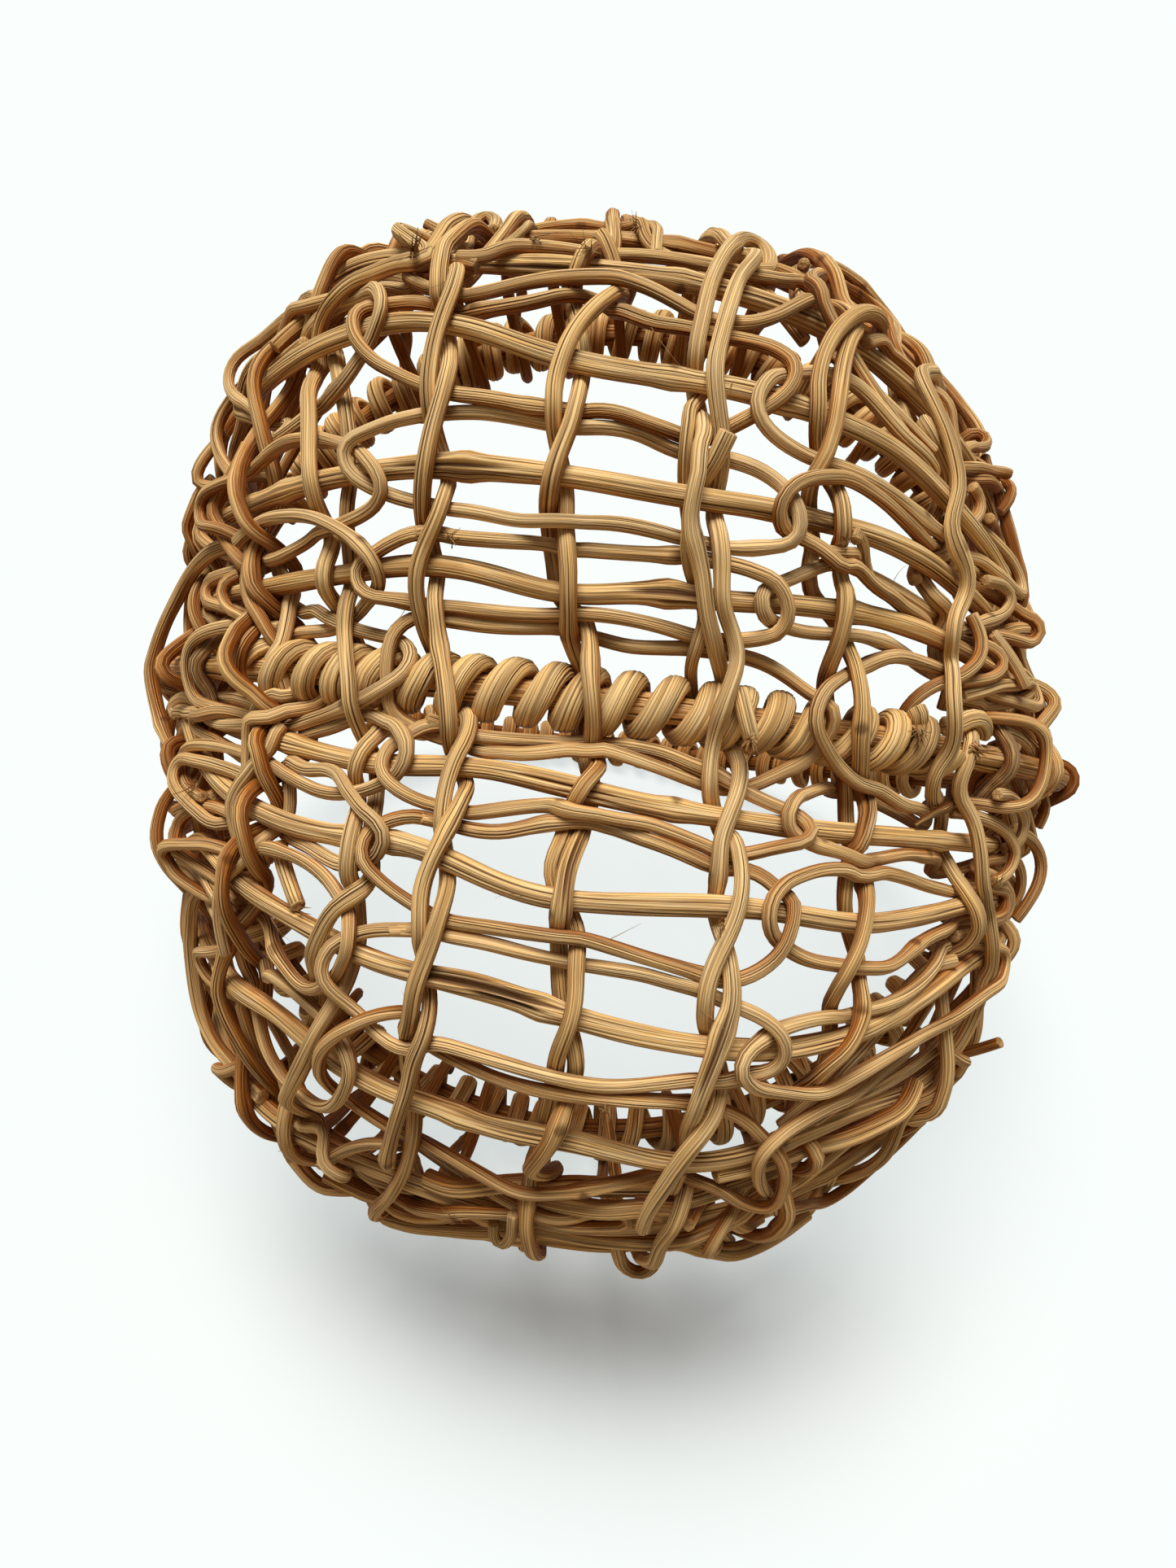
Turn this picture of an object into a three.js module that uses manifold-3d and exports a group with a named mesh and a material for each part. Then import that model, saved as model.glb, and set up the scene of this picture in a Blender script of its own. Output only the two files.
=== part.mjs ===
// A gathering basket woven of whole vines: two hoops crossing at the ears, ribs sprung between the ears,
// twined columns running from rim to rim, chains of hairpin links along the ribs and wrappings on the hoops.
// It stands as it was photographed, on the low side of its rim and on the top of its handle.
// The basket's own frame has X from ear to ear, Y across the bowl and Z out through the bowl's bottom.
import * as THREE from "three";
import { mergeVertices } from "three/addons/utils/BufferGeometryUtils.js";
import Module from "manifold-3d";

const wasm = await Module();
wasm.setup();

// Driving sizes, in millimetres
const RIM_RADIUS = 182.2;
const HOOP_DIAMETER = 9;
const BOWL_DEPTH = 229;
const RIB_DIAMETER = 5.8;
const COLUMN_DIAMETER = 4.5;
const LINK_DIAMETER = 3.8;
const LASHING_DIAMETER = 4.6;
const WRAP_WIDTH = 6.6;
const WRAP_THICKNESS = 5;
const SPINE_PITCH = 15.3;
const HANDLE_PITCH = 19;
const RIM_PITCH = 19;
const CLASP_OVERLAP = 9;
const HAIRPIN_RADIUS = 6.2;
const LEG_SPACING = 10.5;
const CROSSED_SPACING = 2.6;

// Clearances and cuts
const CROSSING_GAP = 0.6;
const WRAP_SEAT = 1.05;
const CLEARANCE = 0.46;
const LEAST_CLEARANCE = 0.41;
const END_GAP = 1.6;
const FLAT_DEPTH = 0.5;

// Counts
const SPINE_LOOPS = 18;
const HANDLE_LOOPS = 22;
const RIM_LOOPS = 21;
const LASHING_TURNS = 3;
const LOOP_STEPS = 7;
const LASHING_STEPS = 9;
const HOOP_STEPS = 52;
const HOOP_SIDES = 6;
const RIB_STEPS = 14;
const RIB_SIDES = 5;
const STRAND_SIDES = 4;

// The handle hoop lies outside the rim hoop and crosses it side by side.
const HOOP_R = HOOP_DIAMETER / 2;
const HANDLE_RADIUS = RIM_RADIUS + HOOP_DIAMETER + CROSSING_GAP;
const WRAP_CENTRE = HOOP_R + WRAP_SEAT + WRAP_THICKNESS / 2;
const WRAPPED_R = Math.hypot(WRAP_CENTRE + WRAP_THICKNESS / 2, WRAP_WIDTH / 4);
const SPINE_MIDDLE = (-3 * Math.PI) / 180;

// Places across the basket were read on hoops of this radius, and they spread with the rim.
const READ_RADIUS = 182.2;
const spread = RIM_RADIUS / READ_RADIUS;

// Ribs from the upper lobe to the lower one. Each has the height of its two ends above the hoops' centre, how
// much shallower than the bowl's depth its crown lies, the X of its ends, and its Y at the stations.
const STATIONS = [-110, -55, 0, 55, 110];
const RIBS = [
  { name: "rib_upper_6", base: 34, rise: 22, ends: [-126, 122], y: [160, 176, 193, 199, 189, 164, 140] },
  { name: "rib_upper_5", base: 50, rise: 18, ends: [-138, 134], y: [142, 160, 163, 164, 158, 135, 122] },
  { name: "rib_upper_4", base: 56, rise: 3, ends: [-148, 142], y: [126, 141, 132, 130, 124, 104, 88] },
  { name: "rib_upper_3", base: 56, rise: 0, ends: [-163, 153], y: [80, 104, 100, 91, 88, 73, 46] },
  { name: "rib_upper_2", base: 56, rise: 8, ends: [-167, 151], y: [50, 57, 62, 57, 61, 52, 38] },
  { name: "rib_upper_1", base: 56, rise: 20, ends: [-165, 163], y: [26, 29, 33, 30, 35, 32, 20] },
  { name: "spine" },
  { name: "rib_lower_1", base: 56, rise: 25, ends: [-163, 161], y: [-14, -23, -25, -27, -30, -29, -28] },
  { name: "rib_lower_2", base: 56, rise: 10, ends: [-170, 161], y: [-29, -45, -50, -57, -54, -54, -45] },
  { name: "rib_lower_3", base: 56, rise: 0, ends: [-168, 163], y: [-61, -74, -84, -91, -96, -76, -60] },
  { name: "rib_lower_4", base: 56, rise: -3, ends: [-155, 153], y: [-94, -110, -125, -131, -131, -111, -100] },
  { name: "rib_lower_5", base: 56, rise: -1, ends: [-146, 148], y: [-128, -153, -162, -168, -161, -140, -118] },
  { name: "rib_lower_6", base: 36, rise: 13, ends: [-128, 126], y: [-158, -173, -190, -200, -194, -174, -150] },
];
const RIB_ROUNDNESS = 0.6;
const SPINE_ROW = 7;
const LAST_ROW = 14;

// Twined columns from ear to ear: the X where each crosses some of the rows, counted from the upper rim.
const COLUMNS = [
  { 0: -108, 2: -128, 3: -138, 4: -153, 5: -157, 6: -154, 7: -154, 8: -152, 9: -158, 10: -155, 11: -145, 12: -136, 14: -110 },
  { 0: -82, 2: -98, 3: -110, 4: -129, 6: -121, 7: -114, 8: -107, 10: -112, 11: -118, 12: -110, 14: -82 },
  { 0: -62, 2: -74, 3: -90, 4: -105, 6: -94, 7: -87, 8: -77, 9: -77, 11: -86, 12: -90, 14: -60 },
  { 0: -42, 2: -56, 3: -68, 5: -66, 7: -54, 9: -47, 11: -51, 12: -54, 14: -38 },
  { 0: -16, 3: -24, 6: -19, 7: -11, 9: -7, 11: -5, 14: -10 },
  { 0: 12, 2: 16, 3: 20, 4: 12, 6: 19, 7: 33, 10: 39, 12: 32, 14: 20 },
  { 0: 40, 2: 48, 3: 58, 4: 53, 6: 60, 7: 72, 9: 77, 11: 77, 12: 68, 14: 50 },
  { 0: 70, 2: 92, 3: 103, 6: 106, 8: 115, 10: 127, 11: 122, 12: 110, 14: 80 },
  { 0: 104, 2: 123, 3: 132, 4: 143, 5: 141, 6: 152, 7: 148, 8: 150, 10: 152, 11: 143, 12: 138, 14: 106 },
];

// Where the links of each row clasp each other, left and right.
const CLASPS = {
  3: [-82, 40], 4: [-89, 31], 5: [-83, 37], 6: [-77, 38], 7: [-69, 54],
  8: [-62, 55], 9: [-62, 55], 10: [-64, 57], 11: [-69, 58], 12: [-73, 51],
};
// Between these rows the legs of neighbouring links cross and cross back, at these X.
const CROSSOVERS = { 4: [-46, -8], 5: [-36, 4], 7: [-36, 10], 8: [-30, 14], 9: [-28, 16] };

// Reads a value off a few (place, value) pairs by a smooth monotone-friendly cubic.
function smoothValue(places, values, at) {
  let i = 0;
  while (i < places.length - 2 && at > places[i + 1]) i++;
  const slope = (j) => {
    const a = Math.max(j - 1, 0);
    const b = Math.min(j + 1, places.length - 1);
    return (values[b] - values[a]) / (places[b] - places[a]);
  };
  const width = places[i + 1] - places[i];
  const t = (at - places[i]) / width;
  const t2 = t * t;
  const t3 = t2 * t;
  return (
    values[i] * (2 * t3 - 3 * t2 + 1) +
    slope(i) * width * (t3 - 2 * t2 + t) +
    values[i + 1] * (3 * t2 - 2 * t3) +
    slope(i + 1) * width * (t3 - t2)
  );
}

// The centreline of a row at a given X: row 0 and the last are the rim, the middle row is the spine.
function rowPoint(row, x) {
  if (row <= 0 || row >= LAST_ROW) {
    const side = row <= 0 ? 1 : -1;
    const reach = Math.min(Math.abs(x), RIM_RADIUS);
    return new THREE.Vector3(Math.sign(x) * reach, side * Math.sqrt(RIM_RADIUS ** 2 - reach ** 2), 0);
  }
  if (row === SPINE_ROW) {
    const reach = Math.min(Math.abs(x), HANDLE_RADIUS);
    return new THREE.Vector3(Math.sign(x) * reach, 0, Math.sqrt(HANDLE_RADIUS ** 2 - reach ** 2));
  }
  const rib = RIBS[row - 1];
  const [left, right] = rib.ends;
  const read = Math.min(Math.max(x / spread, left), right);
  const stations = [left, ...STATIONS, right];
  const y = smoothValue(stations, rib.y, read);
  const crownY = rib.y[3];
  const crown = Math.sqrt((BOWL_DEPTH / spread - rib.rise) ** 2 - crownY ** 2);
  const u = (2 * read - left - right) / (right - left);
  const z = rib.base + (crown - rib.base) * Math.max(1 - u * u, 0) ** RIB_ROUNDNESS;
  return new THREE.Vector3(read, y, z).multiplyScalar(spread);
}

// Unit vectors along a row and out of the bowl.
const STEP = 2;
function alongRow(row, x) {
  return rowPoint(row, x + STEP).sub(rowPoint(row, x - STEP)).normalize();
}
function outOfBowl(row, x) {
  const down = rowPoint(Math.min(row + 1, LAST_ROW), x).sub(rowPoint(Math.max(row - 1, 0), x));
  return down.cross(alongRow(row, x)).normalize();
}

// A point beside a row: so far towards the next row up or down, so high out of the bowl.
function beside(row, x, offset, height) {
  const next = offset >= 0 ? row - 1 : row + 1;
  const here = rowPoint(row, x);
  const there = rowPoint(next, x);
  const share = Math.abs(offset) / here.distanceTo(there);
  const out = outOfBowl(row, x).lerp(outOfBowl(next, x), share).normalize();
  return here.lerp(there, share).addScaledVector(out, height);
}

function columnX(column, row) {
  const rows = Object.keys(COLUMNS[column]).map(Number);
  const places = rows.map((r) => COLUMNS[column][r]);
  return smoothValue(rows, places, row) * spread;
}

// The radius that a crossing strand meets on a row.
function rowRadius(row, x) {
  if (row === 0 || row === LAST_ROW) return WRAPPED_R;
  if (row !== SPINE_ROW) return RIB_DIAMETER / 2;
  return Math.abs(Math.asin(x / HANDLE_RADIUS) - SPINE_MIDDLE) < spineHalf + 0.04 ? WRAPPED_R : HOOP_R;
}
const spineHalf = (SPINE_LOOPS * SPINE_PITCH) / 2 / HANDLE_RADIUS;
const handleHalf = (HANDLE_LOOPS * HANDLE_PITCH) / 2 / HANDLE_RADIUS;
const rimHalf = (RIM_LOOPS * RIM_PITCH) / 2 / RIM_RADIUS;

// A column is one strand folded round the rim. Its legs pass either side of every row and change places
// by half a turn in between, and their ends hook round the other side of the rim.
function columnPath(column) {
  const r = COLUMN_DIAMETER / 2;
  const centres = [];
  for (let row = 0; row <= LAST_ROW; row++) centres.push(rowPoint(row, columnX(column, row)));
  const line = new THREE.CatmullRomCurve3(centres);
  const leg = (over) => {
    const points = [];
    for (let row = 0; row <= LAST_ROW; row++) {
      const x = columnX(column, row);
      const side = (row % 2 === 0) === over ? 1 : -1;
      points.push(centres[row].clone().addScaledVector(outOfBowl(row, x), side * (rowRadius(row, x) + r)));
      if (row === LAST_ROW) continue;
      const across = alongRow(row, x).add(alongRow(row + 1, columnX(column, row + 1))).normalize();
      points.push(line.getPoint((row + 0.5) / LAST_ROW).addScaledVector(across, side * r * 1.1));
    }
    return points;
  };
  const turn = (row, degrees) => {
    const x = columnX(column, row);
    const out = outOfBowl(row, x);
    const back = centres[row].clone().sub(centres[row === 0 ? 1 : LAST_ROW - 1]);
    back.addScaledVector(out, -back.dot(out)).normalize();
    const angle = (degrees * Math.PI) / 180;
    const reach = WRAPPED_R + r;
    return centres[row].clone().addScaledVector(out, Math.cos(angle) * reach).addScaledVector(back, Math.sin(angle) * reach);
  };
  const a = leg(true);
  const b = leg(false);
  if (column % 2 === 0)
    return [
      turn(LAST_ROW, 74), turn(LAST_ROW, 40), ...a.reverse(),
      turn(0, 45), turn(0, 90), turn(0, 135), ...b, turn(LAST_ROW, 140), turn(LAST_ROW, 106),
    ];
  return [
    turn(0, 74), turn(0, 40), ...a,
    turn(LAST_ROW, 45), turn(LAST_ROW, 90), turn(LAST_ROW, 135), ...b.reverse(), turn(0, 140), turn(0, 106),
  ];
}

// A link is one strand bent into a long loop in front of its rib: a hairpin at each end, and two legs that
// go over or under the columns on their way.
function linkPath(row, which) {
  const r = LINK_DIAMETER / 2;
  const [claspLeft, claspRight] = CLASPS[row].map((x) => x * spread);
  const half = CLASP_OVERLAP / 2;
  const first = COLUMNS.length - 1;
  const tips = {
    left: [columnX(0, row) + 11, claspLeft + half],
    middle: [claspLeft - half, claspRight + half],
    right: [claspRight - half, columnX(first, row) - 11],
  }[which];
  const low = rowRadius(row, tips[0]) + r;
  const high = low + LINK_DIAMETER + CLEARANCE;
  const clears = { left: [1, 2], middle: [3, 4, 5], right: [6, 7] }[which];
  // Which side of its columns each link passes: 1 in front, -1 behind.
  const sides = { left: [-1, 1], middle: [-1, 1, -1], right: [1, -1] }[which];
  // Height of the upper and the lower leg at either hairpin.
  const heights = {
    left: { start: [low, low], end: [high, low] },
    middle: { start: [low, high], end: [high, low] },
    right: { start: [low, high], end: [low, low] },
  }[which];
  const legOffset = Math.max(LEG_SPACING, rowRadius(row, tips[0]) + r + CLEARANCE);
  const pass = COLUMN_DIAMETER / 2 + r + CLEARANCE;
  const start = tips[0] + HAIRPIN_RADIUS;
  const end = tips[1] - HAIRPIN_RADIUS;

  const leg = (upward) => {
    const gapRow = upward ? row - 1 : row;
    const gap = (x) => rowPoint(gapRow, x).distanceTo(rowPoint(gapRow + 1, x));
    const hasNeighbour = CLASPS[upward ? row - 1 : row + 1];
    const crossing = which === "middle" && hasNeighbour && CROSSOVERS[gapRow];
    const stops = clears.map((column, i) => {
      const level = gapRow + (upward ? 0.66 : 0.34);
      const x = (columnX(column, Math.floor(level)) * (1 - (level % 1))) + columnX(column, Math.ceil(level)) * (level % 1);
      return { x, height: sides[i] * pass * 1.15 };
    });
    const all = [];
    const between = (a, b) => all.push({ x: (a + b) / 2, height: 0 });
    between(start, stops[0].x);
    stops.forEach((stop, i) => {
      all.push(stop);
      const next = i + 1 < stops.length ? stops[i + 1].x : end;
      if (crossing && i < 2) {
        const lift = (upward ? 1 : -1) * (i === 0 ? 1 : -1) * (LINK_DIAMETER / 2 + CLEARANCE);
        all.push({ x: crossing[i] * spread, height: lift, halfway: true });
      } else between(stop.x, next);
    });
    return all.map(({ x, height, halfway }) => {
      const room = gap(x);
      const own = Math.min(legOffset, room * 0.42);
      const swapped = crossing && x > crossing[0] * spread + 1 && x < crossing[1] * spread - 1;
      const offset = halfway ? room / 2 : swapped ? room / 2 + CROSSED_SPACING : own;
      return beside(row, x, upward ? offset : -offset, height);
    });
  };
  const spanOffset = Math.max(HAIRPIN_RADIUS, legOffset * (rowRadius(row, tips[0]) > RIB_DIAMETER ? 0.9 : 0.6));
  const hairpin = (centre, direction, [upper, lower]) =>
    [90, 45, 0, -45, -90].map((degrees) => {
      const angle = (degrees * Math.PI) / 180;
      const share = (1 - Math.sin(angle)) / 2;
      return beside(
        row,
        centre + direction * HAIRPIN_RADIUS * Math.cos(angle),
        spanOffset * Math.sin(angle),
        upper + (lower - upper) * share,
      );
    });
  const upper = leg(true);
  const lower = leg(false).reverse();
  const loop = [
    ...hairpin(end, 1, heights.end),
    ...lower,
    ...hairpin(start, -1, heights.start).reverse(),
    ...upper,
  ];
  // The strand's two ends meet behind the first column that the upper leg passes.
  const meet = loop.length - upper.length + (which === "right" ? 3 : 1);
  const path = [...loop.slice(meet), ...loop.slice(0, meet), loop[meet].clone()];
  trimEnds(path, END_GAP / 2);
  return path;
}

// Shortens a path by the same length at both ends.
function trimEnds(path, length) {
  const last = path.length - 1;
  const head = path[1].clone().sub(path[0]).setLength(length);
  const tail = path[last - 1].clone().sub(path[last]).setLength(length);
  path[0] = path[0].clone().add(head);
  path[last] = path[last].clone().add(tail);
}

// An ear's lashing turns round the crossed hoops on one diagonal, then outside that on the other.
function lashingPath(side) {
  const r = LASHING_DIAMETER / 2;
  const centre = new THREE.Vector3(side * (RIM_RADIUS + HANDLE_RADIUS) / 2, 0, 0);
  const outward = new THREE.Vector3(side, 0, 0);
  const bundle = HOOP_DIAMETER + CROSSING_GAP / 2;
  const pitch = LASHING_DIAMETER + 0.6;
  const points = [];
  [0, 1].forEach((layer) => {
    const sign = layer === 0 ? 1 : -1;
    const across = new THREE.Vector3(0, 1, -sign).normalize();
    const axis = new THREE.Vector3(0, 1, sign).normalize();
    const deep = bundle + r + CLEARANCE + layer * LASHING_DIAMETER;
    const wide = HOOP_R * Math.SQRT2 + r + 2.4 + layer * LASHING_DIAMETER;
    const steps = LASHING_TURNS * LASHING_STEPS;
    for (let i = 0; i <= steps; i++) {
      const angle = (2 * Math.PI * i) / LASHING_STEPS + layer * Math.PI;
      const along = (i / LASHING_STEPS - LASHING_TURNS / 2) * pitch * (layer === 0 ? 1 : -1);
      points.push(
        centre.clone()
          .addScaledVector(outward, Math.cos(angle) * deep)
          .addScaledVector(across, Math.sin(angle) * wide)
          .addScaledVector(axis, along),
      );
    }
  });
  return points;
}

// Strands that give way to each other, and the hoops and ribs that they lie on
const strands = [];
function addStrand(name, path, diameter, held) {
  strands.push({ name, points: path, target: path.map((p) => p.clone()), radius: diameter / 2, held });
}
RIBS.forEach((rib, i) => {
  if (i + 1 === SPINE_ROW) return;
  const [left, right] = rib.ends;
  const path = [];
  for (let j = 0; j <= RIB_STEPS; j++) {
    const u = -Math.cos((Math.PI * j) / RIB_STEPS);
    path.push(rowPoint(i + 1, ((left + right) / 2 + ((right - left) / 2) * u) * spread));
  }
  addStrand(rib.name, path, RIB_DIAMETER, true);
});
COLUMNS.forEach((_, i) => addStrand("column_" + (i + 1), columnPath(i), COLUMN_DIAMETER, false));
for (const row of Object.keys(CLASPS).map(Number)) {
  const rowName = row === SPINE_ROW ? "spine" : RIBS[row - 1].name.replace("rib_", "");
  for (const which of ["left", "middle", "right"])
    addStrand("link_" + rowName + "_" + which, linkPath(row, which), LINK_DIAMETER, false);
}
addStrand("ear_lashing_left", lashingPath(-1), LASHING_DIAMETER, false);
addStrand("ear_lashing_right", lashingPath(1), LASHING_DIAMETER, false);

// Points on a hoop: the rim in the plane Z = 0 from ear to ear, the handle in the plane Y = 0.
function onRim(angle, radius) {
  return new THREE.Vector3(Math.sin(angle) * radius, Math.cos(angle) * radius, 0);
}
function onHandle(angle, radius) {
  return new THREE.Vector3(Math.sin(angle) * radius, 0, Math.cos(angle) * radius);
}

// Lets the strands settle: each is drawn to its chosen place, evened out along its length and pushed off
// whatever it touches, until everything clears everything.
function settle() {
  const dynamic = strands.filter((s) => !s.held);
  const segments = [];
  const add = (strand, owner, i, radius, free) => segments.push({ strand, owner, i, radius, free });
  strands.forEach((s, k) => {
    for (let i = 0; i + 1 < s.points.length; i++) add(s, k, i, s.radius, !s.held);
  });
  const hoop = (place, radius, owner, wrapped) => {
    const count = 120;
    const points = [];
    for (let i = 0; i <= count; i++) points.push(place((2 * Math.PI * i) / count, radius));
    const carrier = { points };
    for (let i = 0; i < count; i++) {
      const angle = (2 * Math.PI * (i + 0.5)) / count;
      add(carrier, owner, i, wrapped(angle) ? WRAPPED_R : HOOP_R, false);
    }
  };
  const away = (angle, middle) => Math.abs(Math.atan2(Math.sin(angle - middle), Math.cos(angle - middle)));
  const margin = 0.04;
  hoop(onHandle, HANDLE_RADIUS, -1, (angle) =>
    away(angle, SPINE_MIDDLE) < spineHalf + margin || away(angle, Math.PI) < handleHalf + margin);
  hoop(onRim, RIM_RADIUS, -2, (angle) =>
    away(angle, 0) < rimHalf + margin || away(angle, Math.PI) < rimHalf + margin);

  const near = 9;
  const nextTo = 2;
  let pairs = [];
  const listPairs = () => {
    pairs = [];
    const middles = segments.map(({ strand, i }) => strand.points[i].clone().add(strand.points[i + 1]).multiplyScalar(0.5));
    const halves = segments.map(({ strand, i }) => strand.points[i].distanceTo(strand.points[i + 1]) / 2);
    for (let a = 0; a < segments.length; a++) {
      for (let b = a + 1; b < segments.length; b++) {
        const sa = segments[a];
        const sb = segments[b];
        if (!sa.free && !sb.free) continue;
        if (sa.owner === sb.owner && Math.abs(sa.i - sb.i) <= nextTo) continue;
        const reach = halves[a] + halves[b] + sa.radius + sb.radius + near;
        if (middles[a].distanceToSquared(middles[b]) < reach * reach) pairs.push([sa, sb]);
      }
    }
  };
  const measure = (sa, sb) => {
    const a0 = sa.strand.points[sa.i];
    const a1 = sa.strand.points[sa.i + 1];
    const b0 = sb.strand.points[sb.i];
    const b1 = sb.strand.points[sb.i + 1];
    const ux = a1.x - a0.x, uy = a1.y - a0.y, uz = a1.z - a0.z;
    const vx = b1.x - b0.x, vy = b1.y - b0.y, vz = b1.z - b0.z;
    const wx = a0.x - b0.x, wy = a0.y - b0.y, wz = a0.z - b0.z;
    const uu = ux * ux + uy * uy + uz * uz;
    const vv = vx * vx + vy * vy + vz * vz;
    const uv = ux * vx + uy * vy + uz * vz;
    const uw = ux * wx + uy * wy + uz * wz;
    const vw = vx * wx + vy * wy + vz * wz;
    const clamp = (value) => Math.min(1, Math.max(0, value));
    const across = uu * vv - uv * uv;
    let s = across > 1e-9 ? clamp((uv * vw - vv * uw) / across) : 0.5;
    const t = clamp((uv * s + vw) / vv);
    s = clamp((uv * t - uw) / uu);
    const dx = wx + ux * s - vx * t;
    const dy = wy + uy * s - vy * t;
    const dz = wz + uz * s - vz * t;
    return { s, t, dx, dy, dz, distance: Math.sqrt(dx * dx + dy * dy + dz * dz) };
  };
  const push = () => {
    let worst = Infinity;
    for (const [sa, sb] of pairs) {
      const m = measure(sa, sb);
      const gap = m.distance - sa.radius - sb.radius;
      if (gap < worst) worst = gap;
      if (gap >= CLEARANCE || m.distance < 1e-6) continue;
      const weightA = sa.free ? (1 - m.s) ** 2 + m.s ** 2 : 0;
      const weightB = sb.free ? (1 - m.t) ** 2 + m.t ** 2 : 0;
      const move = (CLEARANCE - gap) / (weightA + weightB) / m.distance;
      const shift = (point, amount) => {
        point.x += m.dx * amount;
        point.y += m.dy * amount;
        point.z += m.dz * amount;
      };
      if (sa.free) {
        shift(sa.strand.points[sa.i], move * (1 - m.s));
        shift(sa.strand.points[sa.i + 1], move * m.s);
      }
      if (sb.free) {
        shift(sb.strand.points[sb.i], -move * (1 - m.t));
        shift(sb.strand.points[sb.i + 1], -move * m.t);
      }
    }
    return worst;
  };
  const relax = (pull, even) => {
    for (const { points, target } of dynamic) {
      const drift = points.map((p, i) => p.clone().sub(target[i]));
      points.forEach((p, i) => {
        const a = drift[Math.max(i - 1, 0)];
        const b = drift[Math.min(i + 1, points.length - 1)];
        const smooth = a.clone().add(b).multiplyScalar(0.5);
        const next = drift[i].clone().lerp(smooth, even).multiplyScalar(1 - pull);
        p.copy(target[i]).add(next);
      });
    }
  };
  const rounds = 500;
  const most = 4000;
  let worst = -Infinity;
  for (let round = 0; round < most; round++) {
    if (round % 25 === 0) listPairs();
    const ease = Math.max(0, 1 - round / rounds);
    if (ease > 0) relax(0.03 * ease, 0.2 * ease);
    worst = push();
    if (ease === 0 && worst > LEAST_CLEARANCE + 0.02) break;
  }
  listPairs();
  const last = pairs.map(([sa, sb]) => ({ gap: measure(sa, sb).distance - sa.radius - sb.radius, sa, sb }));
  last.sort((p, q) => p.gap - q.gap);
  return last;
}
const contacts = settle();
console.log("least gap between strands " + contacts[0].gap.toFixed(3) + " mm");
for (const side of ["left", "right"]) {
  const own = strands.findIndex((s) => s.name === "ear_lashing_" + side);
  const self = contacts.find(({ sa, sb }) => sa.owner === own && sb.owner === own);
  console.log("ear_lashing_" + side + " least gap to itself " + self.gap.toFixed(2) + " mm");
}

// A strand's centreline as a curve whose even steps are exactly its points.
class StrandCurve extends THREE.Curve {
  constructor(points) {
    super();
    this.points = points;
  }
  getPoint(t, target = new THREE.Vector3()) {
    const last = this.points.length - 1;
    const place = Math.min(Math.max(t * last, 0), last);
    const i = Math.min(Math.floor(place + 1e-6), last - 1);
    return target.lerpVectors(this.points[i], this.points[i + 1], place - i);
  }
  getPointAt(u, target) {
    return this.getPoint(u, target);
  }
  getTangentAt(u, target = new THREE.Vector3()) {
    const last = this.points.length - 1;
    const i = Math.round(u * last);
    const before = new THREE.Vector3();
    const after = new THREE.Vector3();
    if (i > 0) before.subVectors(this.points[i], this.points[i - 1]).normalize();
    if (i < last) after.subVectors(this.points[i + 1], this.points[i]).normalize();
    return target.addVectors(before, after).normalize();
  }
}

function strandGeometry(points, radius, sides) {
  const corners = [];
  for (let i = 0; i < sides; i++) {
    const angle = (2 * Math.PI * (i + 0.5)) / sides;
    corners.push(new THREE.Vector2(Math.cos(angle) * radius, Math.sin(angle) * radius));
  }
  return new THREE.ExtrudeGeometry(new THREE.Shape(corners), {
    steps: points.length - 1,
    curveSegments: 1,
    bevelEnabled: false,
    extrudePath: new StrandCurve(points),
  });
}

// A wrapping strand round a stretch of hoop, as rings of a flat section whose inner face lies on the hoop.
function windingGeometry(place, hoopRadius, middle, loops, pitch, name) {
  const steps = loops * LOOP_STEPS;
  const halfArc = (loops * pitch) / 2 / hoopRadius;
  const vertices = [];
  const centres = [];
  for (let i = 0; i <= steps; i++) {
    const angle = middle - halfArc + (2 * halfArc * i) / steps;
    const centre = place(angle, hoopRadius);
    const out = centre.clone().normalize();
    const along = place(angle + 0.001, hoopRadius).sub(place(angle - 0.001, hoopRadius)).normalize();
    const aside = along.clone().cross(out);
    const turn = (-2 * Math.PI * i) / LOOP_STEPS;
    const radial = out.clone().multiplyScalar(Math.cos(turn)).addScaledVector(aside, Math.sin(turn));
    const middlePoint = centre.clone().addScaledVector(radial, WRAP_CENTRE);
    centres.push(middlePoint);
    const ring = [[-1, -1], [1, -1], [1, 1], [-1, 1]];
    // The outer face is narrower than the inner one, as a rod pulled round another flattens.
    ring.forEach(([wide, high]) => {
      const width = (wide * WRAP_WIDTH) / (high < 0 ? 2 : 3.2);
      const corner = middlePoint.clone().addScaledVector(along, width);
      corner.addScaledVector(radial, (high * WRAP_THICKNESS) / 2);
      vertices.push(corner.x, corner.y, corner.z);
    });
  }
  const faces = [];
  const sides = 4;
  for (let i = 0; i < steps; i++) {
    for (let j = 0; j < sides; j++) {
      const a = i * sides + j;
      const b = i * sides + ((j + 1) % sides);
      faces.push(a, b, a + sides, b, b + sides, a + sides);
    }
  }
  const end = steps * sides;
  faces.push(0, 2, 1, 0, 3, 2, end, end + 1, end + 2, end, end + 2, end + 3);
  const geometry = new THREE.BufferGeometry();
  geometry.setAttribute("position", new THREE.Float32BufferAttribute(vertices, 3));
  geometry.setIndex(faces);
  let least = Infinity;
  for (let i = 0; i < centres.length; i++)
    for (let j = i + LOOP_STEPS - 1; j < centres.length; j++)
      least = Math.min(least, centres[i].distanceTo(centres[j]));
  const across = Math.hypot(WRAP_WIDTH, WRAP_THICKNESS);
  console.log(name + " least gap to itself " + (least - across).toFixed(2) + " mm");
  return geometry;
}

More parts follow.
